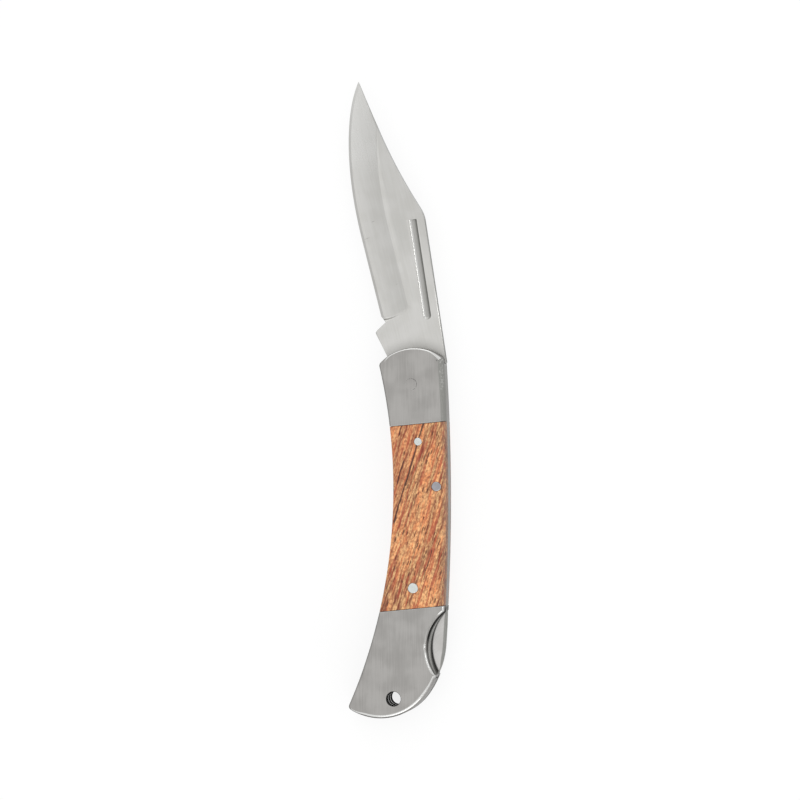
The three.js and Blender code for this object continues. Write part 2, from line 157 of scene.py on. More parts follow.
@dataclass(frozen=True)
class Circle:
    """A circle in the plane of the blade."""

    centre: Vector
    radius: float

    def at(self, angle: float) -> Vector:
        """Gives the point at an angle from +X."""
        return self.centre + self.radius * point(math.cos(angle), math.sin(angle))

    def towards(self, other: "Circle") -> float:
        """Gives the direction from this centre to another."""
        step = other.centre - self.centre
        return math.atan2(step.y, step.x)

    def moved(self, x: float, y: float) -> "Circle":
        """Gives the same circle elsewhere."""
        return Circle(self.centre + point(x, y), self.radius)

    def beyond(self, place: Vector) -> float:
        """Gives how far outside the circle a place is."""
        return (place.xy - self.centre).length - self.radius

    def on_rim(self, place: Vector) -> bool:
        """Says whether a place is on the circle."""
        return abs(self.beyond(place)) < NEAR

    def back_at(self, y: float) -> float:
        """Gives the X of the circle's +X side at a Y."""
        return self.centre.x + math.sqrt(self.radius**2 - (y - self.centre.y) ** 2)

    def arc(self, start: float, end: float, turn: int = 1, stray: float = 0.004) -> list[Vector]:
        """Samples an arc, and leaves its last point to the curve that follows.

        Args:
            start: The first angle.
            end: The last angle.
            turn: 1 for anticlockwise, -1 for clockwise.
            stray: How far a chord may stray from the arc.

        Returns:
            Its points.
        """
        sweep = ((end - start) * turn) % (2 * math.pi)
        steps = max(2, math.ceil(sweep / (2 * math.acos(1 - stray / self.radius))))
        return [self.at(start + turn * sweep * i / steps) for i in range(steps)]


def fillet(a: Circle, b: Circle, radius: float, side: int = 1, grow: int = -1) -> Circle:
    """Finds a circle that touches two others.

    Args:
        a: The first circle.
        b: The second one, which it touches from within, or holds.
        radius: Its radius.
        side: 1 for the left of the line from a to b, -1 for the right.
        grow: -1 to touch the first circle from within, 1 from outside.

    Returns:
        The circle.
    """
    reach_a, reach_b = a.radius + grow * radius, b.radius - radius
    span = (b.centre - a.centre).length
    along = (span**2 + reach_a**2 - reach_b**2) / (2 * span)
    aside = side * math.sqrt(reach_a**2 - along**2)
    unit = (b.centre - a.centre) / span
    return Circle(a.centre + unit * along + point(-unit.y, unit.x) * aside, radius)


@dataclass(frozen=True)
class Layers:
    """Thicknesses across the knife, from the right face up."""

    cover: float = 3.3
    liner: float = 1.0
    blade: float = 2.6
    clearance: float = 0.1

    @property
    def thickness(self) -> float:
        """The whole handle."""
        return 2 * (self.cover + self.liner + self.clearance) + self.blade

    @property
    def middle(self) -> float:
        """The plane of symmetry."""
        return self.thickness / 2

    @property
    def blade_face(self) -> float:
        """The blade's left face."""
        return self.middle + self.blade / 2

    @property
    def liner_in(self) -> float:
        """The left liner's inner face."""
        return self.blade_face + self.clearance

    @property
    def liner_out(self) -> float:
        """The left liner's outer face."""
        return self.liner_in + self.liner


@dataclass(frozen=True)
class HandleOutline:
    """The handle's side view: eight arcs, each tangent to the next."""

    waist_drop: float = 4.89
    waist_setback: float = 28.9
    front_radius: float = 150.0
    back_rise: float = 10.018
    crown_setback: float = 31.8
    back_radius: float = 590.0
    butt_radius: float = 15.3
    butt_drop: float = 8.6
    butt_reach: float = 92.058
    shoulder_radius: float = 27.5
    heel_round: float = 1.1
    nose_reach: float = 10.05
    nose_rise: float = 0.9
    nose_radius: float = 12.95
    nose_round: float = 1.3

    @cached_property
    def circles(self) -> dict[str, Circle]:
        """The arcs' circles, by name."""
        front = Circle(point(-self.waist_drop - self.front_radius, -self.waist_setback), self.front_radius)
        back = Circle(point(self.back_rise - self.back_radius, -self.crown_setback), self.back_radius)
        butt = Circle(point(-self.butt_drop, self.butt_radius - self.butt_reach), self.butt_radius)
        nose = Circle(point(self.nose_rise, self.nose_reach - self.nose_radius), self.nose_radius)
        return {
            "front": front,
            "back": back,
            "butt": butt,
            "nose": nose,
            "shoulder": fillet(back, butt, self.shoulder_radius),
            "heel": fillet(front, butt, self.heel_round, -1, 1),
            "back_corner": fillet(back, nose, self.nose_round),
            "front_corner": fillet(front, nose, self.nose_round, 1, 1),
        }

    def points(self) -> list[Vector]:
        """Gives the whole outline, anticlockwise from the heel.

        Returns:
            The outline's points.
        """
        c = self.circles
        front, corner, heel = c["front"], c["front_corner"], c["heel"]
        bulging = ("heel", "butt", "shoulder", "back", "back_corner", "nose", "front_corner")
        joints = (
            ("heel", "front"),
            ("butt", "heel"),
            ("shoulder", "butt"),
            ("back", "shoulder"),
            ("back", "back_corner"),
            ("nose", "back_corner"),
            ("nose", "front_corner"),
            ("front_corner", "front"),
        )
        turns = [c[a].towards(c[b]) for a, b in joints]
        points = [p for name, *ends in zip(bulging, turns, turns[1:]) for p in c[name].arc(*ends)]
        return points + front.arc(front.towards(corner), front.towards(heel), -1)

    def back_at(self, y: float) -> float:
        """Gives the X of the back edge at a Y, on the back's, the shoulder's or the butt's arc.

        Args:
            y: The Y.

        Returns:
            The X.
        """
        back, shoulder, butt = (self.circles[name] for name in ("back", "shoulder", "butt"))
        if y > back.at(back.towards(shoulder)).y:
            return back.back_at(y)
        return (shoulder if y > shoulder.at(shoulder.towards(butt)).y else butt).back_at(y)


@dataclass(frozen=True)
class ThumbNotch:
    """The round bite in the back that bares the lock bar's side for the thumb."""

    outline: HandleOutline = HandleOutline()
    y: float = -72.513
    depth: float = 4.4
    radius: float = 12.7
    ledge: float = 1.1
    liner_radius: float = 14.3
    # The glints and brightness levels below are painted highlight on the notch's rim and wall.
    glint: float = 1.6
    glint_rise: float = 0.3
    glint_fade: tuple[float, float] = (0.95, 0.25)
    end_glint: tuple[float, float] = (8.7, 9.5)
    end_wear: tuple[float, float] = (7.4, 9.2)
    upper_polish: float = 0.42
    lower_polish: float = 0.5
    dim_polish: float = 0.1
    dim_rise: tuple[float, float] = (4, 6)
    wall_polish: float = 0.6

    def _bite(self, depth: float, radius: float) -> Circle:
        """Gives the circle that bites a depth into the back."""
        return Circle(point(self.outline.back_at(self.y) - depth + radius, self.y), radius)

    def in_bolster(self) -> Circle:
        """Gives the bite in the rear bolster."""
        return self._bite(self.depth, self.radius)

    def in_liner(self) -> Circle:
        """Gives the shallower bite in the liner, which leaves a ledge."""
        return self._bite(self.depth - self.ledge, self.liner_radius)

    def glint_at(self, place: Vector) -> float:
        """Gives the rim's painted highlight, with a painted glint in the middle and one at the upper end."""
        up = place.y - self.y
        glint = max(smoothstep(*self.glint_fade, abs(up - self.glint_rise)), smoothstep(*self.end_glint, up))
        plain = lerp(self.upper_polish, self.lower_polish, smoothstep(0, -2, up))
        return max(lerp(plain, self.dim_polish, smoothstep(*self.dim_rise, up)), self.glint * glint)

    def upper_end_at(self, place: Vector) -> float:
        """Gives how near a place is to the notch's upper end, which the thumb wears."""
        return smoothstep(*self.end_wear, place.y - self.y)

    def shine_at(self, place: Vector) -> float:
        """Gives the painted highlight on the wall: the lower half has it."""
        return self.wall_polish * smoothstep(0, -2, place.y - self.y)

    def wall_shade_at(self, place: Vector) -> float:
        """Gives the painted shade on the wall: the upper half has it."""
        return smoothstep(0, 3, place.y - self.y)


def bitten(outline: Sequence[Vector], bite: Circle, halvings: int = 40) -> list[Vector]:
    """Takes a round bite out of an outline.

    Args:
        outline: An anticlockwise outline that enters and leaves the circle once.
        bite: The circle.
        halvings: How closely the two meeting points are found.

    Returns:
        The outline with the circle's arc in it.
    """
    count = len(outline)
    outside = [bite.beyond(p) > 0 for p in outline]
    steps = [i for i in range(count) if outside[i] != outside[(i + 1) % count]]
    leave, enter = sorted(steps, key=lambda i: not outside[i])
    meets = []
    for i in (leave, enter):
        a, b = outline[i], outline[(i + 1) % count]
        for _ in range(halvings):
            mid = a.lerp(b, 0.5)
            a, b = (mid, b) if (bite.beyond(mid) > 0) == outside[i] else (a, mid)
        meets.append(a)
    angles = [math.atan2(p.y - bite.centre.y, p.x - bite.centre.x) for p in meets]
    kept = [outline[(enter + 1 + i) % count] for i in range((leave - enter) % count)]
    return [*kept, *bite.arc(*angles, -1), meets[1]]


@dataclass(frozen=True)
class Pin(Circle):
    """A round pin, whose peened head may be a little uneven, by waves of a size, count and turn."""

    uneven: float = 0.0

    WAVES = ((0.45, 3, 1.1), (0.35, 5, 2.4), (0.2, 2, 0.0))

    def outline(self, grow: float = 0.0, steps: int = 80) -> list[Vector]:
        """Lists the head's outline.

        Args:
            grow: How far outside the head the line runs.
            steps: The number of points.

        Returns:
            The points, anticlockwise.
        """
        points = []
        for i in range(steps):
            a = 2 * math.pi * i / steps
            waves = sum(size * math.cos(count * a + turn) for size, count, turn in self.WAVES)
            points.append(Circle(self.centre, self.radius + grow + self.uneven * waves).at(a))
        return points


Reading = Callable[[Vector], float | None]
Rim = Callable[[Vector, Vector], float]


def unmarked(place: Vector, outward: Vector) -> float:
    """Leaves a rim as it is."""
    return 0.0


class Solid:
    """A closed mesh in the making, in millimetres.

    Every vertex is marked with its polishing and painted highlight, its dulling and painted shade
    and its soiling and painted shade. On a rounding, the first mark comes on and the third goes
    between two turns in degrees, the second is weaker at the foot and the top, and one more ring
    ends the marks on the flat face.
    """

    MARKS = ("polish", "dull", "grime_and_shade")
    POLISH_AND_HIGHLIGHT_ON = (33, 62)
    GRIME_AND_SHADE_OFF = (68, 28)
    FOOT_DULLNESS_AND_SHADE = 0.7
    TOP_DULLNESS_AND_SHADE = 0.4
    LAST_RING = 0.35
    LEVEL = 0.999

    def __init__(self) -> None:
        """Starts with nothing."""
        self.bm = bmesh.new()
        self._find_marks()

    def _find_marks(self) -> None:
        """Finds the layers that hold the marks, or adds them."""
        layers = self.bm.verts.layers.float
        for name in self.MARKS:
            if name not in layers:
                layers.new(name)
        self.polish, self.dull, self.grime_and_shade = (layers[name] for name in self.MARKS)

    @classmethod
    def plate(cls, outline: Sequence[Vector], low: float, high: float) -> "Solid":
        """Makes a plate.

        Args:
            outline: Its anticlockwise outline.
            low: Z of its lower face.
            high: Z of its upper face.

        Returns:
            The plate.
        """
        solid = cls()
        base = solid.bm.faces.new([solid.bm.verts.new((p.x, p.y, low)) for p in outline])
        grown = bmesh.ops.extrude_face_region(solid.bm, geom=[base])["geom"]
        bmesh.ops.translate(solid.bm, verts=only(BMVert, grown), vec=(0, 0, high - low))
        return solid.faced()

    @classmethod
    def turned(cls, centre: Vector, profile: Sequence[tuple[float, float]], steps: int = 72) -> "Solid":
        """Makes a round piece.

        Args:
            centre: Where its upright axis stands.
            profile: (radius, Z) from the axis out and back to it.
            steps: How many faces go round.

        Returns:
            The piece.
        """
        solid = cls()
        rim = [solid.bm.verts.new((centre.x + radius, centre.y, z)) for radius, z in profile]
        line = [solid.bm.edges.new(pair) for pair in zip(rim, rim[1:])]
        middle, up = (centre.x, centre.y, 0), (0, 0, 1)
        bmesh.ops.spin(
            solid.bm, geom=[*rim, *line], cent=middle, axis=up, angle=2 * math.pi, steps=steps, use_merge=True
        )
        return solid.merged().faced()

    @classmethod
    def of_node(cls, node: str) -> "Solid":
        """Copies a CAD node, with its loose triangles merged into whole faces.

        Args:
            node: Its name.

        Returns:
            The copy.
        """
        solid = cls()
        solid.bm.from_mesh(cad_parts[node].data)
        solid._find_marks()
        bmesh.ops.scale(solid.bm, vec=(1 / MM,) * 3, verts=solid.bm.verts[:])
        solid.merged(1e-4)
        limit, verts, edges = math.radians(0.5), solid.bm.verts[:], solid.bm.edges[:]
        bmesh.ops.dissolve_limit(solid.bm, angle_limit=limit, verts=verts, edges=edges)
        return solid

    def merged(self, within: float = 1e-5) -> "Solid":
        """Merges vertices that lie together."""
        bmesh.ops.remove_doubles(self.bm, verts=self.bm.verts[:], dist=within)
        return self

    def faced(self) -> "Solid":
        """Turns every face outwards."""
        bmesh.ops.recalc_face_normals(self.bm, faces=self.bm.faces[:])
        return self

    def ease(
        self,
        up: bool,
        radius_at: Reading,
        segments: int = 5,
        polish_at: Rim = unmarked,
        dull_at: Rim = unmarked,
        stretch_at: Reading = lambda place: 1.0,
        foot_shade_at: Rim = unmarked,
    ) -> "Solid":
        """Rounds the rim of the top or bottom face, by growing the face inwards ring by ring.

        Args:
            up: Whether it is the top face.
            radius_at: The rounding's radius at a rim point.
            segments: How many rings make the rounding.
            polish_at: How much polishing and painted highlight the rounding has, from a rim point and its
                outward direction.
            dull_at: How much dulling and painted shade it has.
            stretch_at: How many times deeper than wide it is.
            foot_shade_at: How much painted shade lies at the foot of the rounding and on the wall below it.

        Returns:
            This solid.
        """
        self.bm.normal_update()
        level = [f for f in self.bm.faces if f.normal.z * (1 if up else -1) > self.LEVEL]
        face = max(level, key=BMFace.calc_area)
        normal = face.normal.copy()
        ring = {}
        for loop in face.loops:
            here = loop.vert.co.copy()
            before = (here - loop.link_loop_prev.vert.co).normalized()
            after = (loop.link_loop_next.vert.co - here).normalized()
            sides = normal.cross(before), normal.cross(after)
            mitre = (sides[0] + sides[1]) / (1 + sides[0].dot(sides[1]))
            outward = -mitre.normalized()
            marks = (mark_at(here, outward) for mark_at in (polish_at, dull_at, foot_shade_at))
            ring[loop.vert] = here, mitre, radius_at(here), stretch_at(here), *marks
        for vert, (place, _, radius, stretch, _, dull, foot) in ring.items():
            vert.co = place - normal * radius * stretch
            vert[self.dull] = self.FOOT_DULLNESS_AND_SHADE * dull
            # The rim's foot and the wall below it take the painted shade.
            for below in (e.other_vert(vert) for e in vert.link_edges):
                below[self.grime_and_shade] = foot
        for step in range(1, segments + 2):
            turn, inner = min(1.0, step / segments) * math.pi / 2, step > segments
            grown = bmesh.ops.extrude_face_region(self.bm, geom=[face])["geom"]
            if face.is_valid:
                bmesh.ops.delete(self.bm, geom=[face], context="FACES_ONLY")
            face = only(BMFace, grown)[0]
            fresh = {}
            for vert in only(BMVert, grown):
                old = next(e.other_vert(vert) for e in vert.link_edges if e.other_vert(vert) in ring)
                place, mitre, radius, stretch, polish, dull, foot = fresh[vert] = ring[old]
                inward = radius * (1 - math.cos(turn)) + (self.LAST_RING * radius if inner else 0)
                vert.co = place + mitre * inward - normal * radius * stretch * (1 - math.sin(turn))
                # Up the rounding the painted highlight comes on and the painted shade fades out.
                vert[self.polish] = polish * smoothstep(*self.POLISH_AND_HIGHLIGHT_ON, math.degrees(turn)) * (step < segments)
                vert[self.dull] = 0 if inner else dull * (self.TOP_DULLNESS_AND_SHADE if step == segments else 1)
                vert[self.grime_and_shade] = foot * smoothstep(*self.GRIME_AND_SHADE_OFF, math.degrees(turn))
            ring = fresh
        return self.faced()

    def cut(self, place: Vector, normal: Vector, soften: float = 0.06, mark: str = "polish") -> "Solid":
        """Cuts off what lies beyond a plane, closes the cut and softens its rim.

        Args:
            place: A point of the plane.
            normal: Its normal, towards what goes.
            soften: The width of the rim's bevel.
            mark: What the bevel is marked as; by default its polishing and painted highlight.

        Returns:
            This solid.
        """
        everything = [*self.bm.verts, *self.bm.edges, *self.bm.faces]
        plane = {"plane_co": place, "plane_no": normal, "clear_outer": True}
        rim = only(BMEdge, bmesh.ops.bisect_plane(self.bm, geom=everything, **plane)["geom_cut"])
        caps = bmesh.ops.edgeloop_fill(self.bm, edges=rim)["faces"]
        return self.bevelled([e for f in caps for e in f.edges], soften, mark).faced()

    def marked(self, mark: str, value_at: Reading) -> "Solid":
        """Marks every vertex for which a function of its place gives a value.

        Args:
            mark: The mark's name.
            value_at: The function. It gives None where the mark stays as it is.

        Returns:
            This solid.
        """
        layer = self.bm.verts.layers.float[mark]
        for vert in self.bm.verts:
            value = value_at(vert.co)
            if value is not None:
                vert[layer] = value
        return self

    def bevelled(self, edges: Iterable[BMEdge], width: float, mark: str = "polish") -> "Solid":
        """Bevels some edges.

        Args:
            edges: The edges.
            width: The bevel's width.
            mark: What the bevel's middle line is marked as; by default its polishing and painted highlight.

        Returns:
            This solid.
        """
        how = {"segments": 2, "profile": 0.5, "affect": "EDGES", "clamp_overlap": True, "material": -1}
        made = bmesh.ops.bevel(self.bm, geom=list(edges), offset=width, **how)
        fresh = set(made["faces"])
        for vert in made["verts"]:
            if all(face in fresh for face in vert.link_faces):
                vert[self.bm.verts.layers.float[mark]] = 1.0
        return self

    def crisp_edges(self, angle: float = 50.0) -> list[BMEdge]:
        """Lists the edges where two faces meet at more than an angle in degrees."""
        self.bm.normal_update()
        limit = math.radians(angle)
        return [e for e in self.bm.edges if len(e.link_faces) == 2 and e.calc_face_angle() > limit]

    def carved(self, *cutters: "Solid") -> "Solid":
        """Takes other solids out of this one, and uses them up.

        Args:
            *cutters: What is taken out, in order.

        Returns:
            This solid.
        """
        block = self._placed("block")
        for cutter in cutters:
            tool = cutter._placed("tool")
            boolean = block.modifiers.new("carve", "BOOLEAN")
            boolean.operation, boolean.solver, boolean.object = "DIFFERENCE", "EXACT", tool
            depsgraph = bpy.context.evaluated_depsgraph_get()
            carved = bpy.data.meshes.new_from_object(block.evaluated_get(depsgraph))
            block.modifiers.clear()
            block.data = carved
            bpy.data.objects.remove(tool)
        self.bm.clear()
        self.bm.from_mesh(block.data)
        self._find_marks()
        bpy.data.objects.remove(block)
        return self.merged()

    def _placed(self, name: str) -> bpy.types.Object:
        """Puts the mesh in the scene for a moment."""
        mesh = bpy.data.meshes.new(name)
        self.bm.to_mesh(mesh)
        return added(name, mesh)

    def on(self, side: Side, middle: float) -> "Solid":
        """Leaves the solid on the left side, or mirrors it across a height to the right one.

        Args:
            side: Where it goes.
            middle: Z of the mirror.

        Returns:
            This solid.
        """
        if side is Side.LEFT:
            return self
        plane = Matrix.Translation((0, 0, -middle))
        bmesh.ops.scale(self.bm, vec=(1, 1, -1), space=plane, verts=self.bm.verts[:])
        return self.faced()


@dataclass(frozen=True)
class Piece:
    """How a finished solid joins the scene in the place of a CAD node."""

    name: str
    node: str
    body: Body
    slot: Slot
    material: bpy.types.Material
    sharp: float = 35.0

    def place(self, solid: Solid) -> bpy.types.Object:
        """Turns a solid, in millimetres, into an object.

        Args:
            solid: The finished solid. It is used up.

        Returns:
            The object, which doesn't ride on its body yet.
        """
        bmesh.ops.scale(solid.bm, vec=(MM,) * 3, verts=solid.bm.verts[:])
        mesh = bpy.data.meshes.new(self.name)
        solid.bm.to_mesh(mesh)
        solid.bm.free()
        mesh.shade_smooth()
        mesh.set_sharp_from_angle(angle=math.radians(self.sharp))
        self._keep_creases(mesh)
        mesh.materials.append(self.material)
        thing = added(self.name, mesh)
        thing.modifiers.new("normals", "WEIGHTED_NORMAL").keep_sharp = True
        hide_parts(self.node)
        log.info("%s: %d faces", self.name, len(mesh.polygons))
        return thing

    def riding(self, solid: Solid) -> bpy.types.Object:
        """Places a solid and lets it ride on its body."""
        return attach(self.place(solid), self.body.value)

    @staticmethod
    def _keep_creases(mesh: bpy.types.Mesh) -> None:
        """Keeps the edges sharp whose two ends are marked as the same crease.

        Args:
            mesh: The finished mesh.
        """
        marks = mesh.attributes.get("crease_line")
        line = [mark.value for mark in marks.data] if marks else []
        sharp = mesh.attributes.get("sharp_edge") or mesh.attributes.new("sharp_edge", "BOOLEAN", "EDGE")
        for edge in mesh.edges if line else ():
            a, b = (line[v] for v in edge.vertices)
            if round(a) and round(a) == round(b) and abs(a - round(a)) < 0.01:
                sharp.data[edge.index].value = True


def linear(colour: Colour) -> tuple[float, ...]:
    """Turns a colour as it is seen, 0 to 255, into the shader's linear one."""
    shares = [value / 255 for value in colour]
    return *[s / 12.92 if s <= 0.04045 else ((s + 0.055) / 1.055) ** 2.4 for s in shares], 1.0


class Graph:
    """Adds nodes to a tree and links them."""

    def __init__(self, tree: bpy.types.NodeTree) -> None:
        """Takes the tree to work on."""
        self.tree = tree

    def add(self, kind: str, settings: dict | None = None, **inputs: object) -> bpy.types.Node:
        """Adds one node.

        Args:
            kind: The node's type name, without "ShaderNode".
            settings: Its properties.
            **inputs: Its sockets by name with underscores for spaces, as sockets or plain values.

        Returns:
            The node.
        """
        node = self.tree.nodes.new(f"ShaderNode{kind}")
        for name, value in (settings or {}).items():
            setattr(node, name, value)
        for name, value in inputs.items():
            self.feed(node.inputs[name.replace("_", " ")], value)
        return node

    def feed(self, socket: Socket, value: object) -> None:
        """Links a socket to another, or sets its value.

        Args:
            socket: The input that is fed.
            value: A socket, a plain value, or None to leave it.
        """
        if isinstance(value, Socket):
            self.tree.links.new(value, socket)
        elif value is not None:
            socket.default_value = value

    def math(self, operation: str, *values: object, clamp: bool = False) -> Socket:
        """Works on numbers.

        Args:
            operation: The Math node's operation.
            *values: Its one to three inputs.
            clamp: Whether the result stays within 0 and 1.

        Returns:
            The result.
        """
        node = self.add("Math", {"operation": operation, "use_clamp": clamp})
        for socket, value in zip(node.inputs, values):
            self.feed(socket, value)
        return node.outputs[0]

    def times(self, a: object, b: object) -> Socket:
        """Multiplies two numbers."""
        return self.math("MULTIPLY", a, b)

    def minus(self, a: object, b: object) -> Socket:
        """Takes a number from another."""
        return self.math("SUBTRACT", a, b)

    def scaled(self, value: object, by: object, plus: object, clamp: bool = False) -> Socket:
        """Multiplies a number and adds another."""
        return self.math("MULTIPLY_ADD", value, by, plus, clamp=clamp)

    def span(self, value: object, low: float, high: float, *ends: float) -> Socket:
        """Maps low..high to 0..1, or to two other ends, with a smooth start and end.

        Args:
            value: The number.
            low: Where the change starts.
            high: Where it ends.
            *ends: What low and high become, if not 0 and 1.

        Returns:
            The result.
        """
        a, b = ends or (0.0, 1.0)
        smooth = {"interpolation_type": "SMOOTHSTEP"}
        node = self.add("MapRange", smooth, Value=value, From_Min=low, From_Max=high, To_Min=a, To_Max=b)
        return node.outputs["Result"]

    def mix(self, share: object, a: object, b: object) -> Socket:
        """Mixes two colours by the second one's share.

        Args:
            share: The second colour's share.
            a: The first colour.
            b: The second colour.

        Returns:
            The mixed colour.
        """
        node = self.add("Mix", {"data_type": "RGBA", "blend_type": "MIX", "clamp_factor": True})
        for index, value in ((0, share), (6, a), (7, b)):
            self.feed(node.inputs[index], value)
        return node.outputs[2]

    def separated(self, vector: Socket) -> list[Socket]:
        """Gives a vector's X, Y and Z."""
        return list(self.add("SeparateXYZ", Vector=vector).outputs)


class Group(Graph):
    """A node group in the making, which turns a place and some numbers into other numbers."""

    def __init__(self, name: str, **numbers: float) -> None:
        """Starts the group with a vector and named numbers, given with their defaults.

        Args:
            name: The group's name.
            **numbers: The default of each number, by its name.
        """
        super().__init__(bpy.data.node_groups.new(name, "ShaderNodeTree"))
        self._socket("Vector", "INPUT", "Vector")
        for label, default in numbers.items():
            self._socket(label, "INPUT").default_value = default
        self.given = self.tree.nodes.new("NodeGroupInput").outputs

    def _socket(self, label: str, way: str, kind: str = "Float") -> bpy.types.NodeTreeInterfaceSocket:
        """Adds a socket to the group's outside."""
        return self.tree.interface.new_socket(label, in_out=way, socket_type=f"NodeSocket{kind}")

    def ended(self, **results: Socket) -> bpy.types.NodeTree:
        """Puts out the named results.

        Args:
            **results: Each result, by its name.

        Returns:
            The finished group.
        """
        for label in results:
            self._socket(label, "OUTPUT")
        out = self.tree.nodes.new("NodeGroupOutput")
        for label, result in results.items():
            self.feed(out.inputs[label], result)
        return self.tree

    def turned(self, turn: object) -> Socket:
        """Turns the place about Z."""
        about_z = {"rotation_type": "Z_AXIS"}
        return self.add("VectorRotate", about_z, Vector=self.given["Vector"], Angle=turn).outputs[0]

    def grains(self, turn: object, width: object, length: object) -> Socket:
        """Turns the place and counts it in grains of a width and a length in millimetres.

        Args:
            turn: How far the place is turned about Z.
            width: A grain's width.
            length: Its length.

        Returns:
            The place in grains.
        """
        across, along = (self.math("DIVIDE", 1 / MM, size) for size in (width, length))
        node = self.add("VectorMath", {"operation": "MULTIPLY"})
        self.feed(node.inputs[0], self.turned(turn))
        self.feed(node.inputs[1], self.add("CombineXYZ", X=across, Y=along, Z=across).outputs[0])
        return node.outputs[0]

    def noise(
        self, grain: Sequence[object], detail: float = 2.0, rough: float = 0.5, seed: float | None = None
    ) -> Socket:
        """Gives noise.

        Args:
            grain: The turn, width and length of its grains.
            detail: Its detail.
            rough: Its roughness.
            seed: Which of many noises of this kind it is.

        Returns:
            The noise.
        """
        settings, chosen = ({}, {}) if seed is None else ({"noise_dimensions": "4D"}, {"W": seed})
        place = self.grains(*grain)
        node = self.add("TexNoise", settings, Vector=place, Scale=1.0, Detail=detail, Roughness=rough, **chosen)
        return node.outputs["Fac"]

    def cells(self, grain: Sequence[object], scale: float = 1.0) -> tuple[Socket, list[Socket]]:
        """Gives the distance to the middle of a cell, and the cell's own three random numbers."""
        cells = self.add("TexVoronoi", {"feature": "F1"}, Vector=self.grains(*grain), Scale=scale)
        draws = self.add("SeparateColor", Color=cells.outputs["Color"])
        return cells.outputs["Distance"], list(draws.outputs)


class Effects:
    """The node groups that the materials share. Each is built once."""

    @cached_property
    def streaks(self) -> bpy.types.NodeTree:
        """Long soft streaks, as a belt or a stone leaves them."""
        group = Group("streaks", Turn=0.0, Width=0.3, Length=12.0)
        return group.ended(Value=group.noise(list(group.given)[1:4], 3.0, seed=0.0))

    @cached_property
    def clouds(self) -> bpy.types.NodeTree:
        """Wide soft patches of handling and polishing."""
        group = Group("clouds", Size=6.0)
        size = group.given["Size"]
        return group.ended(Value=group.span(group.noise((0.0, size, size), 2.5, seed=3.0), 0.3, 0.7))

    @cached_property
    def scratches(self) -> bpy.types.NodeTree:
        """Fine single scratches in one direction, more of them for a larger amount."""
        group = Group("scratches", Turn=0.0, Amount=0.3)
        distance, draws = group.cells((group.given["Turn"], 0.26, 3.0), 0.35)
        chosen = group.math("LESS_THAN", draws[0], group.given["Amount"])
        return group.ended(Mask=group.times(group.span(distance, 0.16, 0.05), chosen))

    @cached_property
    def worn_and_lit_edge(self) -> bpy.types.NodeTree:
        """A mark of the mesh, wear and painted light alike, broken up by specks, and bright specks of its own
        where it is strong.
        """
        group = Group("worn edge", Mark=0.0, Speck=0.6, Ragged=0.5)
        mark, speck = group.given["Mark"], group.given["Speck"]
        noise = group.noise((0.0, speck, speck), 4.0, 0.6)
        ragged = group.times(group.minus(noise, 0.5), group.given["Ragged"])
        ragged = group.times(ragged, group.math("MULTIPLY", mark, 4.0, clamp=True))
        specks = group.times(group.span(noise, 0.52, 0.62), group.span(mark, 0.8, 0.95))
        return group.ended(Mask=group.span(group.scaled(ragged, 2.0, mark), 0.15, 0.75), Specks=specks)

    @cached_property
    def wood_grain(self) -> bpy.types.NodeTree:
        """Coarse open grain: bands, fibres, red streaks, mottling, open pores and the redder heartwood."""
        group = Group("wood grain", Turn=0.0)
        turn = group.given["Turn"]
        distance, draws = group.cells((turn, 0.6, 2.6))
        rows = group.span(group.noise((turn, 0.9, 14.0), seed=30.0), 0.42, 0.6, 0.15, 0.8)
        ragged = group.scaled(group.noise((turn, 0.35, 0.8), seed=41.0), 0.4, distance)
        inside = group.span(group.minus(ragged, group.scaled(draws[1], 0.28, 0.28)), 0.1, -0.08)
        return group.ended(
            Bands=group.span(group.noise((turn, 1.2, 20.0), seed=2.0), 0.4, 0.6),
            Fibres=group.span(group.noise((turn, 0.5, 4.5), 3.0, 0.7, 5.0), 0.38, 0.62),
            Red=group.span(group.noise((turn, 0.75, 11.0), seed=9.0), 0.53, 0.62),
            Mottle=group.span(group.noise((turn, 0.55, 0.9), 2.0, 0.7, 17.0), 0.38, 0.62),
            Pores=group.times(inside, group.math("LESS_THAN", draws[0], rows)),
            Heart=group.span(group.separated(group.turned(turn))[0], 7.2 * MM, 4.8 * MM),
        )

    @cached_property
    def vein(self) -> bpy.types.NodeTree:
        """One dark vein along the grain, from one place to another."""
        group = Group("vein", Turn=0.0, Across=0.0, Start=0.0, End=0.0, Width=0.3)
        turn, across, start, end, thick = list(group.given)[1:6]
        x, y, _ = group.separated(group.turned(turn))
        sway = group.scaled(group.minus(group.noise((turn, 4.0, 5.0), 3.0), 0.5), 0.9 * MM, x)
        away = group.math("ABSOLUTE", group.scaled(across, -MM, sway))
        width = group.span(group.noise((turn, 0.5, 1.6)), 0.3, 0.7, 0.45 * MM, 0.85 * MM)
        line = group.span(group.math("DIVIDE", away, group.times(thick, width)), 1.3, 0.4)
        inside = group.math("MINIMUM", group.scaled(start, -MM, y), group.minus(group.times(end, MM), y))
        return group.ended(Mask=group.times(line, group.span(inside, 0.0, MM)))


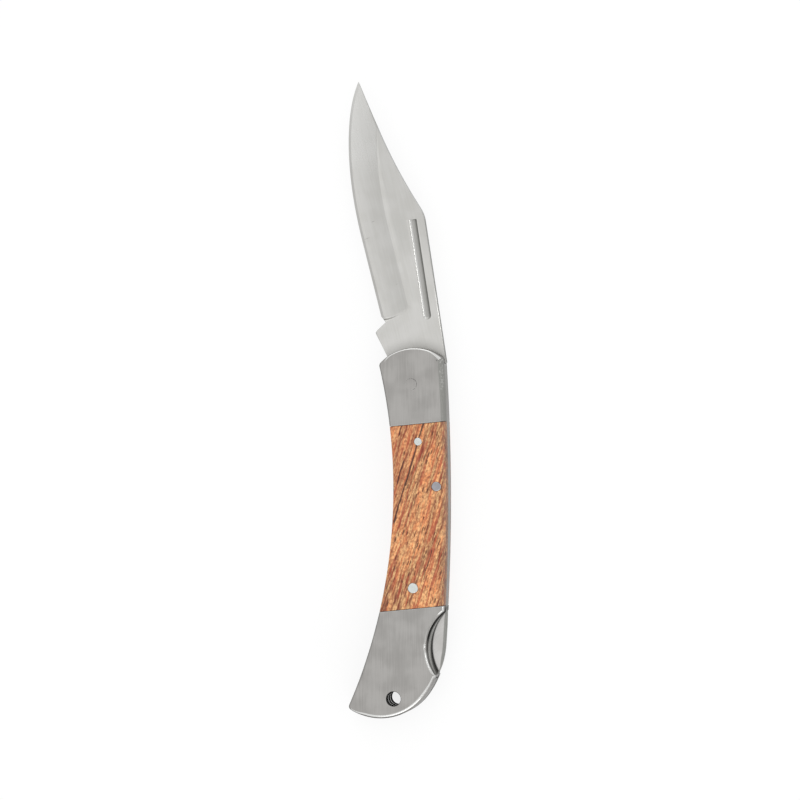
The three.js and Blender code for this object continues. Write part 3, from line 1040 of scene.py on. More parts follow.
class Paint(Graph):
    """A piece's material in the making."""

    def __init__(self, name: str) -> None:
        """Starts a material whose places are the piece's own.

        Args:
            name: The material's name.
        """
        self.material = bpy.data.materials.new(name)
        self.material.use_nodes = True
        super().__init__(self.material.node_tree)
        self.shader = self.tree.nodes["Principled BSDF"]
        self.place = self.add("TexCoord").outputs["Object"]
        self.colour: Socket | None = None

    def mark(self, name: str) -> Socket:
        """Reads one of the mesh's marks."""
        return self.add("Attribute", {"attribute_name": name}).outputs["Fac"]

    def effect(self, group: bpy.types.NodeTree, **inputs: object) -> bpy.types.bpy_prop_collection:
        """Places a shared effect and gives its outputs."""
        return self.add("Group", {"node_tree": group}, Vector=self.place, **inputs).outputs

    def coat(self, mask: object, colour: Colour, share: float = 1.0) -> None:
        """Lays a colour over the colour so far, by a share where the mask is full."""
        self.colour = self.mix(self.times(mask, share), self.colour, linear(colour))

    def finished(
        self, rough: object, parts: Sequence[tuple[Socket, float]], height: Socket, strength: float, depth: float
    ) -> bpy.types.Material:
        """Feeds the shader.

        Args:
            rough: How rough the plain surface is.
            parts: Masks, and how much rougher the surface is where each is full.
            height: The relief.
            strength: The relief's strength.
            depth: Its depth in millimetres.

        Returns:
            The material.
        """
        for mask, more in parts:
            rough = self.scaled(mask, more, rough, clamp=True)
        bump = self.add("Bump", Strength=strength, Distance=depth * MM, Height=height)
        fed = {"Base Color": self.colour, "Roughness": rough, "Normal": bump.outputs["Normal"]}
        for name, value in fed.items():
            self.feed(self.shader.inputs[name], value)
        return self.material


@dataclass(frozen=True)
class Shade:
    """Painted shade next to a circle: outside it for a positive reach, inside for a negative one."""

    circle: Circle
    reach: float
    strength: float
    colour: Colour = (120, 119, 115)

    def lay(self, paint: Paint) -> None:
        """Lays the painted shade over a material's colour.

        Args:
            paint: The material.
        """
        parts = paint.separated(paint.place)
        x, y = (paint.minus(part, middle * MM) for part, middle in zip(parts, self.circle.centre))
        away = paint.math("SQRT", paint.scaled(x, x, paint.times(y, y)))
        near = self.circle.radius * MM
        past = near - math.copysign(MM, self.reach)
        share = paint.span(away, near + self.reach * MM, near)
        kept = paint.span(away, past, lerp(past, near, 0.6))
        paint.coat(paint.times(share, kept), self.colour, self.strength)


@dataclass(frozen=True)
class SteelFinish:
    """One steel surface: ground, brushed or buffed bright, how much wear it shows, and its painted highlight and
    shade.
    """

    name: str
    light: Colour
    dark: Colour
    roughness: float = 0.32
    turn: float = 0.0
    streak_width: float = 0.35
    streak_length: float = 14.0
    streak_depth: float = 0.2
    scratch_turn: float = 1.2
    scratch_amount: float = 0.1
    # Mark colours: polishing with painted highlight, dulling with painted shade, soiling with painted shade.
    polished: Colour = (224, 224, 222)
    dulled: Colour = (148, 148, 144)
    grime_and_shade_colour: Colour = (34, 33, 32)
    bump: float = 0.12
    ragged: float = 0.1
    edge_on: float = 0.5
    shades: tuple[Shade, ...] = ()

    def material(self, effects: Effects) -> bpy.types.Material:
        """Builds the finish as a node material.

        Args:
            effects: The shared groups.

        Returns:
            The material.
        """
        paint = Paint(self.name)
        sizes = {"Turn": self.turn, "Width": self.streak_width, "Length": self.streak_length}
        streaks = paint.effect(effects.streaks, **sizes)["Value"]
        patches = paint.effect(effects.clouds)["Value"]
        scratched = paint.effect(effects.scratches, Turn=self.scratch_turn, Amount=self.scratch_amount)["Mask"]
        polished_and_lit, dulled_and_shaded = (
            paint.effect(effects.worn_and_lit_edge, Mark=paint.mark(name), Speck=speck, Ragged=self.ragged)
            for name, speck in (("polish", 0.9), ("dull", 0.75))
        )
        grime_and_shade = paint.mark("grime_and_shade")
        tone = paint.span(paint.scaled(streaks, 0.7, paint.times(patches, 0.3)), 0.25, 0.75)
        paint.colour = paint.mix(tone, linear(self.dark), linear(self.light))
        paint.coat(scratched, [c // 2 for c in self.dark], 0.4)
        # Painted shade next to circles, where one part shades another.
        for shade in self.shades:
            shade.lay(paint)
        # Polishing with painted highlight, dulling with painted shade, and soiling with painted shade at rims'
        # feet and in recesses.
        paint.coat(polished_and_lit["Mask"], self.polished)
        paint.coat(dulled_and_shaded["Mask"], self.dulled)
        paint.coat(dulled_and_shaded["Specks"], self.polished, 0.4)
        paint.coat(grime_and_shade, self.grime_and_shade_colour, 0.97)
        paint.shader.inputs["Metallic"].default_value = 1.0
        paint.shader.inputs["Specular Tint"].default_value = (*[self.edge_on] * 3, 1.0)
        rough = paint.scaled(paint.minus(streaks, 0.5), self.streak_depth, self.roughness)
        parts = ((scratched, 0.15), (polished_and_lit["Mask"], -0.1), (grime_and_shade, 0.5), (dulled_and_shaded["Mask"], 0.25))
        height = paint.scaled(dulled_and_shaded["Specks"], 2.0, paint.minus(paint.times(streaks, 0.5), scratched))
        return paint.finished(rough, parts, height, self.bump, 0.04)


@dataclass(frozen=True)
class WoodFinish:
    """The scales' smooth, oiled, open-grained wood. A vein is its place, its ends and its width."""

    name: str = "oiled wood"
    light: Colour = (255, 206, 144)
    base: Colour = (252, 162, 102)
    brown: Colour = (124, 56, 32)
    red: Colour = (170, 62, 38)
    pore: Colour = (78, 36, 24)
    vein: Colour = (62, 24, 18)
    handled: Colour = (138, 104, 84)
    # This seam colour darkens the seams' joints and also paints shade at the foot of the scale's rim.
    seam: Colour = (48, 32, 24)
    grain_turn: float = 0.29
    veins: tuple[tuple[float, float, float, float], ...] = (
        (6.36, -38.5, -8.0, 0.42),
        (0.95, -15.2, -11.0, 0.3),
        (4.15, -28.0, -20.0, 0.3),
        (18.65, -49.7, -41.3, 0.22),
        (10.3, -20.3, -15.8, 0.22),
        (10.2, -32.2, -29.6, 0.24),
        (10.15, -50.9, -48.7, 0.24),
        (20.0, -41.2, -37.7, 0.2),
    )

    def material(self, effects: Effects) -> bpy.types.Material:
        """Builds the wood as a node material.

        Args:
            effects: The shared groups.

        Returns:
            The material.
        """
        paint = Paint(self.name)
        grain = paint.effect(effects.wood_grain, Turn=self.grain_turn)
        fibres, pores, vein = grain["Fibres"], grain["Pores"], 0.0
        for across, start, end, width in self.veins:
            sizes = {"Across": across, "Start": start, "End": end, "Width": width}
            line = paint.effect(effects.vein, Turn=self.grain_turn, **sizes)["Mask"]
            vein = paint.math("MAXIMUM", line, vein)
        handled, joint_dirt_and_shade = (
            paint.effect(effects.worn_and_lit_edge, Mark=paint.mark(name), Speck=speck, Ragged=ragged)["Mask"]
            for name, speck, ragged in (("dull", 0.8, 0.9), ("grime_and_shade", 3.0, 0.3))
        )
        paint.colour = paint.mix(grain["Bands"], linear(self.brown), linear(self.base))
        paint.coat(fibres, self.light, 0.8)
        paint.coat(grain["Mottle"], self.brown, 0.6)
        paint.coat(grain["Red"], self.red, 0.65)
        paint.coat(grain["Heart"], self.red, 0.2)
        paint.coat(pores, self.pore, 0.8)
        paint.coat(vein, self.vein, 0.92)
        paint.coat(handled, self.handled, 0.32)
        # Dark joints at the seams, and painted shade at the rim's foot and next to the liner.
        paint.coat(joint_dirt_and_shade, self.seam, 0.8)
        height = paint.minus(paint.times(fibres, 0.4), paint.math("ADD", pores, vein))
        return paint.finished(0.42, ((fibres, 0.15), (pores, 0.2)), height, 0.35, 0.08)


class Finishes:
    """Every material of the knife, built once."""

    def __init__(self) -> None:
        """Builds the shared groups and the materials."""
        effects, notch = Effects(), ThumbNotch()
        # Painted shade: the bolster's shadow on the blade by its nose, and the shade in the thumb notch on the
        # liner's ledge and on the bar.
        under_nose = Shade(HandleOutline().circles["nose"], 3.4, 0.3)
        on_ledge = Shade(notch.in_bolster().moved(0.0, -0.35), -0.3, 0.9, (50, 49, 48))
        off_ledge = Shade(notch.in_liner().moved(0, -0.6), 0.6, 0.9, (60, 59, 57))
        on_bar = Shade(notch.in_liner().moved(0.05, 0.35), -0.4, 0.9, (60, 59, 57))
        self.blade = SteelFinish(
            "ground blade steel", (211, 210, 207), (202, 201, 197), roughness=0.3, turn=-0.25,
            streak_width=0.5, streak_length=9.0, streak_depth=0.1, scratch_amount=0.04, bump=0.06,
            dulled=(128, 128, 124), ragged=0.0, shades=(under_nose,),
        ).material(effects)
        self.bolster = SteelFinish(
            "brushed bolster steel", (178, 176, 173), (160, 158, 155), roughness=0.36,
            streak_width=0.3, streak_length=9.0, scratch_amount=0.06, dulled=(156, 156, 152),
        ).material(effects)
        self.liner = SteelFinish(
            "liner steel", (184, 183, 180), (166, 165, 161), roughness=0.36, streak_width=0.2,
            shades=(on_ledge, off_ledge),
        ).material(effects)
        self.lock = SteelFinish(
            "lock bar steel", (208, 206, 204), (194, 192, 189), roughness=0.33, turn=0.9,
            streak_width=0.25, streak_length=5.0, shades=(on_bar,),
        ).material(effects)
        self.spring = SteelFinish(
            "spring steel", (150, 150, 150), (120, 120, 122), roughness=0.4
        ).material(effects)
        self.pin = SteelFinish(
            "peened pin steel", (224, 228, 226), (208, 213, 210), roughness=0.28, turn=0.7,
            streak_width=0.5, streak_length=0.7, bump=0.3,
        ).material(effects)
        self.grey_pin = SteelFinish(
            "grey pin steel", (170, 169, 174), (156, 155, 160), roughness=0.34, turn=0.4,
            streak_width=0.4, streak_length=0.9, bump=0.2, polished=(205, 206, 208),
        ).material(effects)
        self.wood = WoodFinish().material(effects)


@dataclass(frozen=True)
class Pins:
    """Where the pins stand, and their radii."""

    layers: Layers
    pivot: Pin = Pin(point(0, 0), 1.6)
    rocker: Pin = Pin(point(7.0884, -28.1), 1.35, 0.06)
    front_scale: Pin = Pin(point(1.98, -15.75), 1.1, 0.03)
    rear_scale: Pin = Pin(point(0.59, -56.1), 1.42, 0.09)
    in_front_bolster: Pin = Pin(point(1.0, -7.3), 0.9)
    in_butt: Pin = Pin(point(-12.0, -88.663), 0.9)
    lanyard: Pin = Pin(point(-4.8, -86.613), 1.98)
    gap: float = 0.03

    def bores(self, *pins: Pin, aside: Vector = point(0, 0)) -> list[Solid]:
        """Makes the cutters for pins' holes, a step aside of the pins' middles."""
        high = self.layers.thickness + 1
        return [Solid.plate([p + aside for p in pin.outline(self.gap)], -1, high) for pin in pins]

    def rod(self, pin: Pin, low: float = 0.0, soften: float = 0.16) -> Solid:
        """Makes a pin up to the left face.

        Args:
            pin: Its place, radius and evenness.
            low: Z of its lower end, which shows if it is 0.
            soften: The rounding of an end that shows.

        Returns:
            The pin.
        """

        def polish_at(place: Vector, outward: Vector) -> float:
            """Gives a rim's painted highlight: it glints at the upper left and the lower right."""
            return lerp(0.2, 1, abs(outward.x - outward.y) / 1.42)

        solid = Solid.plate(pin.outline(), low, self.layers.thickness)
        for up in (True,) if low else (False, True):
            solid.ease(up, lambda _: soften, 4, polish_at)
        return solid


@dataclass(frozen=True)
class HandleCovers:
    """The bolsters and wooden scales of both sides, their liners and all the pins that show."""

    layers: Layers
    outline: HandleOutline
    pins: Pins
    finishes: Finishes
    notch: ThumbNotch = ThumbNotch()
    front_seam: float = -11.05
    rear_seam: float = -61.85
    seam_gap: float = 0.05
    seam_tilt: float = math.radians(5.6)
    seam_rim: float = 0.14
    wood_rim: float = 0.15
    edge_ease: float = 0.45
    back_ease: float = 1.3
    back_depth: float = 3.0
    corner_ease: float = 1.0
    front_corner: Vector = point(-8.6, 7.4)
    butt_ease: float = 1.05
    liner_ease: float = 0.07
    ledge_ease: float = 0.16
    butt_y: float = -80
    seam_end_ease: tuple[float, float] = (0.7, 1.0)
    notch_end_ease: tuple[float, float] = (0.2, 0.7)
    lanyard_ease: tuple[float, float] = (0.5, 0.25)
    lanyard_reach: float = 0.31

    def _ease_at(self, place: Vector) -> float:
        """Gives the rounding's radius: wide along the back and at the nose's two corners.

        Args:
            place: A rim point.

        Returns:
            The radius.
        """
        if place.x < 0 or place.y < self.butt_y:
            corner = smoothstep(2.6, 0.4, (place.xy - self.front_corner).length)
            return lerp(self.edge_ease, self.corner_ease, corner)
        on_back = smoothstep(0.6, 0.1, self.outline.back_at(min(place.y, 6.5)) - place.x)
        wide = lerp(on_back, smoothstep(4.6, 9.3, place.x), smoothstep(6.0, 7.6, place.y))
        return lerp(self.edge_ease, self.back_ease, wide)

    def _polish_at(self, place: Vector, outward: Vector) -> float:
        """Gives a rim's polishing and painted highlight. Rims that face the front, the shaded side, get none,
        and the front edge, under the fingers, is the dullest.
        """
        # Rims that face the front are in shade and get no painted highlight.
        seen = smoothstep(-0.8, -0.5, outward.x)
        return seen * lerp(0.8, 1.0, smoothstep(0, 8, place.x)) * (1 - self._dull_at(place, outward))

    def _dull_at(self, place: Vector, outward: Vector) -> float:
        """Gives how much wear and painted shade darken a rim: the wide rounding of the back has both."""
        on_back = smoothstep(0.75, 0.92, outward.x) * smoothstep(7.5, 6.9, place.y)
        return on_back * smoothstep(-64, -60, place.y) * lerp(0.78, 1.0, smoothstep(-2.5, 0, place.y))

    def _foot_shade_at(self, place: Vector, outward: Vector) -> float:
        """Gives the painted shade at a rim's foot: the left and lower rims look dark against the light."""
        low = lerp(0.4, 0.65, smoothstep(-0.2, -0.7, outward.y))
        return low * smoothstep(0.75, 0.3, outward.x) * smoothstep(0.9, 0.5, outward.y)

    def _wood_foot_shade_at(self, place: Vector, outward: Vector) -> float:
        """Gives the painted shade at the foot of the scale's rim, most of all next to the liner at the back."""
        return max(0.5 * self._foot_shade_at(place, outward), 0.53 * smoothstep(0.75, 0.92, outward.x))

    def _stretch_at(self, place: Vector) -> float:
        """Gives how much deeper than wide the rounding is, which it is along the back alone."""
        wide = smoothstep(self.edge_ease, self.back_ease, self._ease_at(place))
        return lerp(1.0, self.back_depth / self.back_ease, wide) if place.x >= 5 else 1.0

    def _seam(self, y: float, up: bool) -> tuple[Vector, Vector]:
        """Gives a seam's plane as a point and the normal towards what is cut off."""
        gap = self.seam_gap / 2 * (-1 if up else 1)
        normal = Vector((-math.sin(self.seam_tilt), math.cos(self.seam_tilt), 0))
        return Vector((0, y + gap, 0)), normal if up else -normal

    def _blank(self, foot_shade_at: Rim) -> Solid:
        """Makes a cover for the whole handle, with its back rounded wide."""
        solid = Solid.plate(self.outline.points(), self.layers.liner_out, self.layers.thickness)
        return solid.ease(True, self._ease_at, 7, self._polish_at, self._dull_at, self._stretch_at, foot_shade_at)

    def front_bolster(self) -> Solid:
        """Makes the left front bolster. The pivot's hole is a hair off, so its ring shows on one side."""
        solid = self._blank(self._foot_shade_at).cut(*self._seam(self.front_seam, False), self.seam_rim)
        return solid.carved(*self.pins.bores(self.pins.pivot, aside=point(0.04, 0.02)))

    def scale(self) -> Solid:
        """Makes the left wooden scale."""
        solid = self._blank(self._wood_foot_shade_at)
        solid.cut(*self._seam(self.front_seam, True), self.wood_rim, "grime_and_shade")
        solid.cut(*self._seam(self.rear_seam, False), self.wood_rim, "grime_and_shade")
        return solid.carved(*self.pins.bores(self.pins.front_scale, self.pins.rocker, self.pins.rear_scale))

    def rear_bolster(self, side: Side) -> Solid:
        """Makes a rear bolster, with its part of the thumb notch and the lanyard hole.

        Args:
            side: The side that it is for. It is still built on the left one.

        Returns:
            The bolster.
        """
        top, notch, bite = self.layers.thickness, self.notch, self.notch.in_bolster()
        corner = self.seam_end_ease[0 if side is Side.LEFT else 1]
        shallow, wide = self.notch_end_ease

        def at_seam(place: Vector) -> float:
            """Gives how near a rim point is to the seam's end at the back."""
            return smoothstep(6.5, 8.5, place.x) * (place.y > -63 and not bite.on_rim(place))

        def ease_at(place: Vector) -> float:
            """Gives the rounding's radius, wider at the butt, the notch's end and the seam's.

            Args:
                place: A rim point.

            Returns:
                The radius.
            """
            on_butt = smoothstep(-16.3, -12.5, place.x) * smoothstep(-76.5, -79.5, place.y)
            ease = lerp(self.edge_ease, lerp(0.75, self.butt_ease, smoothstep(-82, -86, place.y)), on_butt)
            if bite.on_rim(place):
                wider = lerp(wide, 0.75, smoothstep(notch.y + 2, notch.y - 2, place.y))
                ease = lerp(shallow, wider, smoothstep(0, 1.5, self.outline.back_at(place.y) - place.x))
                ease = lerp(ease, 0.9 * corner, notch.upper_end_at(place))
            return lerp(ease, corner, at_seam(place))

        def stretch_at(place: Vector) -> float:
            """Gives how many times deeper than wide the rounding is."""
            return lerp(1.0, 2.5, max(at_seam(place), bite.on_rim(place) * notch.upper_end_at(place)))

        def polish_at(place: Vector, outward: Vector) -> float:
            """Gives a rim's polishing and painted highlight."""
            return notch.glint_at(place) if bite.on_rim(place) else self._polish_at(place, outward)

        def foot_shade_at(place: Vector, outward: Vector) -> float:
            """Gives the painted shade at a rim's foot, with more of it on the right bolster's butt."""
            far = 0.0 if side is Side.LEFT else 0.6 * smoothstep(0.0, 0.4, outward.x)
            return max(far * (place.y < self.butt_y), self._foot_shade_at(place, outward))

        def wall_shade_at(place: Vector) -> float | None:
            """Gives the painted shade on the notch's wall."""
            return notch.wall_shade_at(place) if bite.on_rim(place) and place.z < top - 0.5 else None

        def shine_at(place: Vector) -> float | None:
            """Gives the painted highlight on the notch's lower half."""
            in_rim = bite.beyond(place) < 0.9 and place.y < notch.y and place.x > 0
            return notch.shine_at(place) if in_rim and place.z < top - 0.035 else None

        solid = Solid.plate(bitten(self.outline.points(), bite), self.layers.liner_out, top)
        solid.ease(True, ease_at, 6, polish_at, stretch_at=stretch_at, foot_shade_at=foot_shade_at)
        solid.marked("grime_and_shade", wall_shade_at).marked("polish", shine_at)
        solid.cut(*self._seam(self.rear_seam, True), self.seam_rim)
        flare = self._lanyard_flare(side)
        profile = [(0, 0), (flare[0][0], 0), *flare, (0, flare[-1][1])]
        return self._lanyard_shaded_and_lit(solid.carved(Solid.turned(self.pins.lanyard.centre, profile)), flare[1][1])

    def _lanyard_flare(self, side: Side) -> list[tuple[float, float]]:
        """Lists (radius, Z) of the lanyard hole's rim, rounded half over, and more so on the left side.

        Args:
            side: The side of the bolster.

        Returns:
            The rim's profile, from the hole's wall outwards.
        """
        top, radius = self.layers.thickness, self.pins.lanyard.radius
        rim = self.lanyard_ease[0 if side is Side.LEFT else 1]
        low = top - rim * math.sin(math.pi / 4)
        bends = [i * math.pi / 16 for i in range(5)]
        flare = [(radius + rim * (1 - math.cos(a)), low + rim * math.sin(a)) for a in bends]
        return [(radius, low - 0.15), *flare, (flare[-1][0] + 1, top + 1)]

    def _lanyard_shaded_and_lit(self, solid: Solid, low: float = 0.0) -> Solid:
        """Marks the lanyard hole: painted shade on its wall up to a Z, and a painted highlight on the rim's
        lower left, where it wears.

        Args:
            solid: The piece with the hole.
            low: Z of the rim's foot, where the wall gets no painted shade.

        Returns:
            The piece.
        """
        top, hole = self.layers.thickness, self.pins.lanyard

        def worn_and_lit(place: Vector) -> float | None:
            """Gives the painted highlight of the hole's rim.

            Args:
                place: A vertex.

            Returns:
                The polish, or None away from the hole.
            """
            away, beyond = place.xy - hole.centre, hole.beyond(place)
            if beyond > self.lanyard_reach:
                return None
            on_flare = beyond > 0.01 and place.z < top - 0.01
            return on_flare * smoothstep(0.5, -0.5, (away.x + away.y) / away.length)

        def hole_shade(place: Vector) -> float | None:
            """Gives the painted shade on the hole's wall."""
            beyond = hole.beyond(place)
            return None if beyond > self.lanyard_reach else float(beyond < 0.01 and abs(place.z - low) > 0.01)

        return solid.marked("polish", worn_and_lit).marked("grime_and_shade", hole_shade).marked("dull", lambda p: hole_shade(p) and 0.0)

    def liner(self) -> Solid:
        """Makes the left liner.

        Returns:
            The liner.
        """
        bite, pins = self.notch.in_liner(), self.pins

        def ease_at(place: Vector) -> float:
            """Gives the rounding's radius, wider on the ledge in the notch."""
            return self.ledge_ease if bite.on_rim(place) else self.liner_ease

        def foot_shade_at(place: Vector, outward: Vector) -> float:
            """Gives the painted shade under the ledge and along the back."""
            return 0.85 * bite.on_rim(place) + 0.3 * smoothstep(0.75, 0.92, outward.x)

        solid = Solid.plate(bitten(self.outline.points(), bite), self.layers.liner_in, self.layers.liner_out)
        # The ledge's rim gets a painted highlight.
        solid.ease(True, ease_at, 2, lambda place, outward: 0.8 * bite.on_rim(place), foot_shade_at=foot_shade_at)
        solid.ease(False, lambda _: self.liner_ease, 2)
        shown = (pins.pivot, pins.rocker, pins.front_scale, pins.rear_scale)
        bores = pins.bores(*shown, pins.in_front_bolster, pins.in_butt, pins.lanyard)
        return self._lanyard_shaded_and_lit(solid.carved(*bores))

    def build(self) -> None:
        """Builds the covers, the liners and the pins of both sides."""
        finish, pins, inner = self.finishes, self.pins, self.layers.liner_in
        for side in Side:
            for part, tail, solid, slot, material in (
                ("front_bolster", "skin", self.front_bolster(), Slot.BOLSTER, finish.bolster),
                ("scale", "skin", self.scale(), Slot.SCALE, finish.wood),
                ("rear_bolster", "skin", self.rear_bolster(side), Slot.BOLSTER, finish.bolster),
                ("liner", "skin", self.liner(), Slot.LINER, finish.liner),
                ("front_scale_rivet", "head", pins.rod(pins.front_scale, inner), Slot.PIN, finish.pin),
                ("rear_scale_rivet", "head", pins.rod(pins.rear_scale, inner), Slot.PIN, finish.pin),
            ):
                node = f"{side.value}_{part}"
                piece = Piece(f"{node}_{tail}", node, Body.HANDLE, slot, material)
                piece.riding(solid.on(side, self.layers.middle))
        for node, pin, soften, material in (
            ("pivot_pin", pins.pivot, 0.03, finish.bolster),
            ("rocker_pin", pins.rocker, 0.24, finish.grey_pin),
        ):
            rod = pins.rod(pin, soften=soften)
            Piece(f"{node}_rod", node, Body.HANDLE, Slot.PIN, material).riding(rod)


def leaning(angle: float) -> Vector:
    """Gives the direction that leans from +Y towards the blade's edge."""
    return point(-math.sin(angle), math.cos(angle))


@dataclass(frozen=True)
class NailPull:
    """The long round groove in the blade's left face, along its spine."""

    layers: Layers
    corner: Vector
    lean: float
    length: float = 27.9
    width: float = 2.25
    depth: float = 0.5
    inset: float = 3.3
    start: float = 12.6

    @cached_property
    def run(self) -> Vector:
        """Its direction."""
        return leaning(self.lean)

    @cached_property
    def foot(self) -> Vector:
        """The middle of its lower end."""
        return self.corner + self.run * self.start + point(-self.run.y, self.run.x) * self.inset

    def cutters(self) -> list[Solid]:
        """Makes its cutters: a rod laid along the spine and a ball at its lower end.

        Returns:
            The two cutters.
        """
        half = self.width / 2
        radius = (half**2 + self.depth**2) / (2 * self.depth)
        low, high = self.foot + self.run * half, self.foot + self.run * self.length
        height = self.layers.blade_face + radius - self.depth
        lie = Matrix.Translation((*low.lerp(high, 0.5), height)) @ Matrix.Rotation(self.lean, 4, "Z")
        rod, ball = Solid(), Solid()
        bmesh.ops.create_cone(
            rod.bm,
            cap_ends=True,
            segments=96,
            radius1=radius,
            radius2=radius,
            depth=(high - low).length,
            matrix=lie @ Matrix.Rotation(math.pi / 2, 4, "X"),
        )
        middle = Matrix.Translation((*low, height))
        bmesh.ops.create_uvsphere(ball.bm, u_segments=64, v_segments=48, radius=radius, matrix=middle)
        return [rod.faced(), ball.faced()]

    def across(self, place: Vector) -> float | None:
        """Reads where a place lies across the groove.

        Args:
            place: A place on the blade.

        Returns:
            -1 at the wall nearer to the edge to 1 at the one nearer to the spine, None outside it.
        """
        step, face = place.xy - self.foot, self.layers.blade_face
        across = step.dot(point(self.run.y, -self.run.x)) / (self.width / 2)
        inside = -0.2 < step.dot(self.run) < self.length + 0.2 and abs(across) < 1.05
        return across if inside and face - self.depth - 0.1 < place.z < face - 0.004 else None

    def polish_at(self, place: Vector) -> float | None:
        """Gives the painted highlight in the groove: on the wall nearer to the edge."""
        x = self.across(place)
        bright = None if x is None else 0.68 * smoothstep(-0.15, -0.5, x)
        return bright and bright * lerp(1.0, 0.25, smoothstep(-0.7, -0.85, x))

    def dull_at(self, place: Vector) -> float | None:
        """Gives the painted shade in the groove: on the wall nearer to the spine."""
        x = self.across(place)
        dark = None if x is None else lerp(0.43, 0.62, smoothstep(0.3, 0.8, x))
        return dark and dark * lerp(0.5, 1.0, smoothstep(-0.6, -0.2, x))


@dataclass(frozen=True)
class Blade:
    """The blade, built as a sheet of rows and columns on each side of its middle plane."""

    layers: Layers
    pins: Pins
    finishes: Finishes
    tip: Vector = point(-15.4, 83.8)
    tip_angle: float = math.radians(23.7)
    belly: Vector = point(-18.15, 67.1)
    edge_angle: float = math.radians(14.2)
    straight_edge: float = 22.5
    heel: Vector = point(-9.0, 18.7)
    choil: Vector = point(-7.6, 17.2)
    kick: Vector = point(-10.55, 14.4)
    kick_round: float = 0.7
    tang_slope: float = math.radians(26.8)
    tang_end: tuple[float, float] = (13.5, 8.0)
    spine_rise: float = 9.27
    spine_angle: float = math.radians(8.7)
    clip_reach: float = 47.1
    clip_round: float = 2.0
    clip_angle: float = math.radians(32.5)
    clip_tip_angle: float = math.radians(22.7)
    clip_sway: float = 0.4
    cam: Circle = Circle(point(0, 0), 6.2)
    notch_floor: float = 4.4
    notch_back: float = 1.6
    stop_reach: float = 6.0
    grind_width: float = 8.1
    bevel_width: float = 0.7
    bevel_half: float = 0.4
    edge_half: float = 0.08
    hollow_power: float = 1.6
    chamfer: float = 0.14
    plunge: tuple[float, float] = (17.35, 18.45)
    plunge_sweep: float = 3.2
    sweep_on: float = 7.0
    sweep_off: float = 36.0
    # Painted highlight and painted shade on the blade's sheet.
    hollow_polish: float = 0.4
    polish_rise: tuple[float, float] = (42, 68)
    clip_polish: float = 0.6
    spine_dull: float = 0.45
    plunge_dull: float = 2.4
    flat_dull: float = 0.28
    flat_rise: tuple[float, float] = (24, 40)
    grind: int = 15
    notch: int = 18
    last: int = 22

    @cached_property
    def nail_pull(self) -> NailPull:
        """The groove along the spine."""
        return NailPull(self.layers, point(self.spine_rise, self.stop_reach), self.spine_angle)

    @cached_property
    def front_line(self) -> list[Vector]:
        """The front side from the cam's foot over the kick, the choil and the edge to the tip."""
        slope = (self.kick.x + self.cam.radius) / math.tan(self.tang_slope)
        foot = point(-self.cam.radius, self.kick.y + slope)
        ends = [self.kick + (end - self.kick).normalized() * self.kick_round for end in (foot, self.choil)]
        cam_side = [self.cam.at(math.pi * (1.5 - 0.5 * i / 12)) for i in range(13)]
        kick = bezier(6, ends[0], self.kick, ends[1])
        return [*cam_side, foot, *kick, self.choil, self.heel, *self.edge_line[1:]]

    @cached_property
    def edge_line(self) -> list[Vector]:
        """The cutting edge from the heel to the tip."""
        run = leaning(self.edge_angle)
        straight = self.heel + run * self.straight_edge
        corner = straight + run * ((straight.x - self.belly.x) / math.sin(self.edge_angle))
        tip_corner = point(self.belly.x, self.tip.y - (self.tip.x - self.belly.x) / math.tan(self.tip_angle))
        upper = bezier(40, self.belly, tip_corner, self.tip)
        return [self.heel, *bezier(40, straight, corner, self.belly), *upper[1:]]

    @cached_property
    def back_line(self) -> list[Vector]:
        """The back side from the cam over the stop shoulder, the spine and the clip to the tip."""
        notch = math.asin(self.notch_back / self.cam.radius)
        cam_side = [self.cam.at(lerp(-math.pi / 2, notch, i / 18)) for i in range(19)]
        base = point(self.spine_rise, self.stop_reach)
        rise = self.clip_reach - self.stop_reach
        corner = point(self.spine_rise - rise * math.tan(self.spine_angle), self.clip_reach)
        before = corner - leaning(self.spine_angle) * self.clip_round
        start = corner + leaning(self.clip_angle) * self.clip_round
        sway = self.clip_sway * (self.tip - start).length
        leave, arrive = leaning(self.clip_angle) * sway, leaning(self.clip_tip_angle) * sway
        clip = bezier(60, start, start + leave, self.tip - arrive, self.tip)
        return [*cam_side, base, *bezier(10, before, corner, start), *clip[1:]]

    def edge_at(self, y: float, step: float = 0.2) -> tuple[float, float]:
        """Gives the edge's X at a Y, straight on below the heel, and the cosine of its slope.

        Args:
            y: The Y.
            step: How far up and down the slope is measured.

        Returns:
            The X and the cosine.
        """
        if y <= self.heel.y:
            return self.heel.x + (self.heel.y - y) * math.tan(self.edge_angle), math.cos(self.edge_angle)
        low, high = max(y - step, self.heel.y), min(y + step, self.tip.y)
        lean = (x_on(self.edge_line, high) - x_on(self.edge_line, low)) / (high - low)
        return x_on(self.edge_line, y), 1 / math.hypot(1, lean)

    def half_at(self, distance: float) -> float:
        """Gives half the ground blade's thickness at a distance from the edge.

        Args:
            distance: The distance.

        Returns:
            Half the thickness.
        """
        if distance <= self.bevel_width:
            return lerp(self.edge_half, self.bevel_half, distance / self.bevel_width)
        share = min(1.0, (distance - self.bevel_width) / (self.grind_width - self.bevel_width))
        return self.bevel_half + share**self.hollow_power * (self.layers.blade / 2 - self.bevel_half)

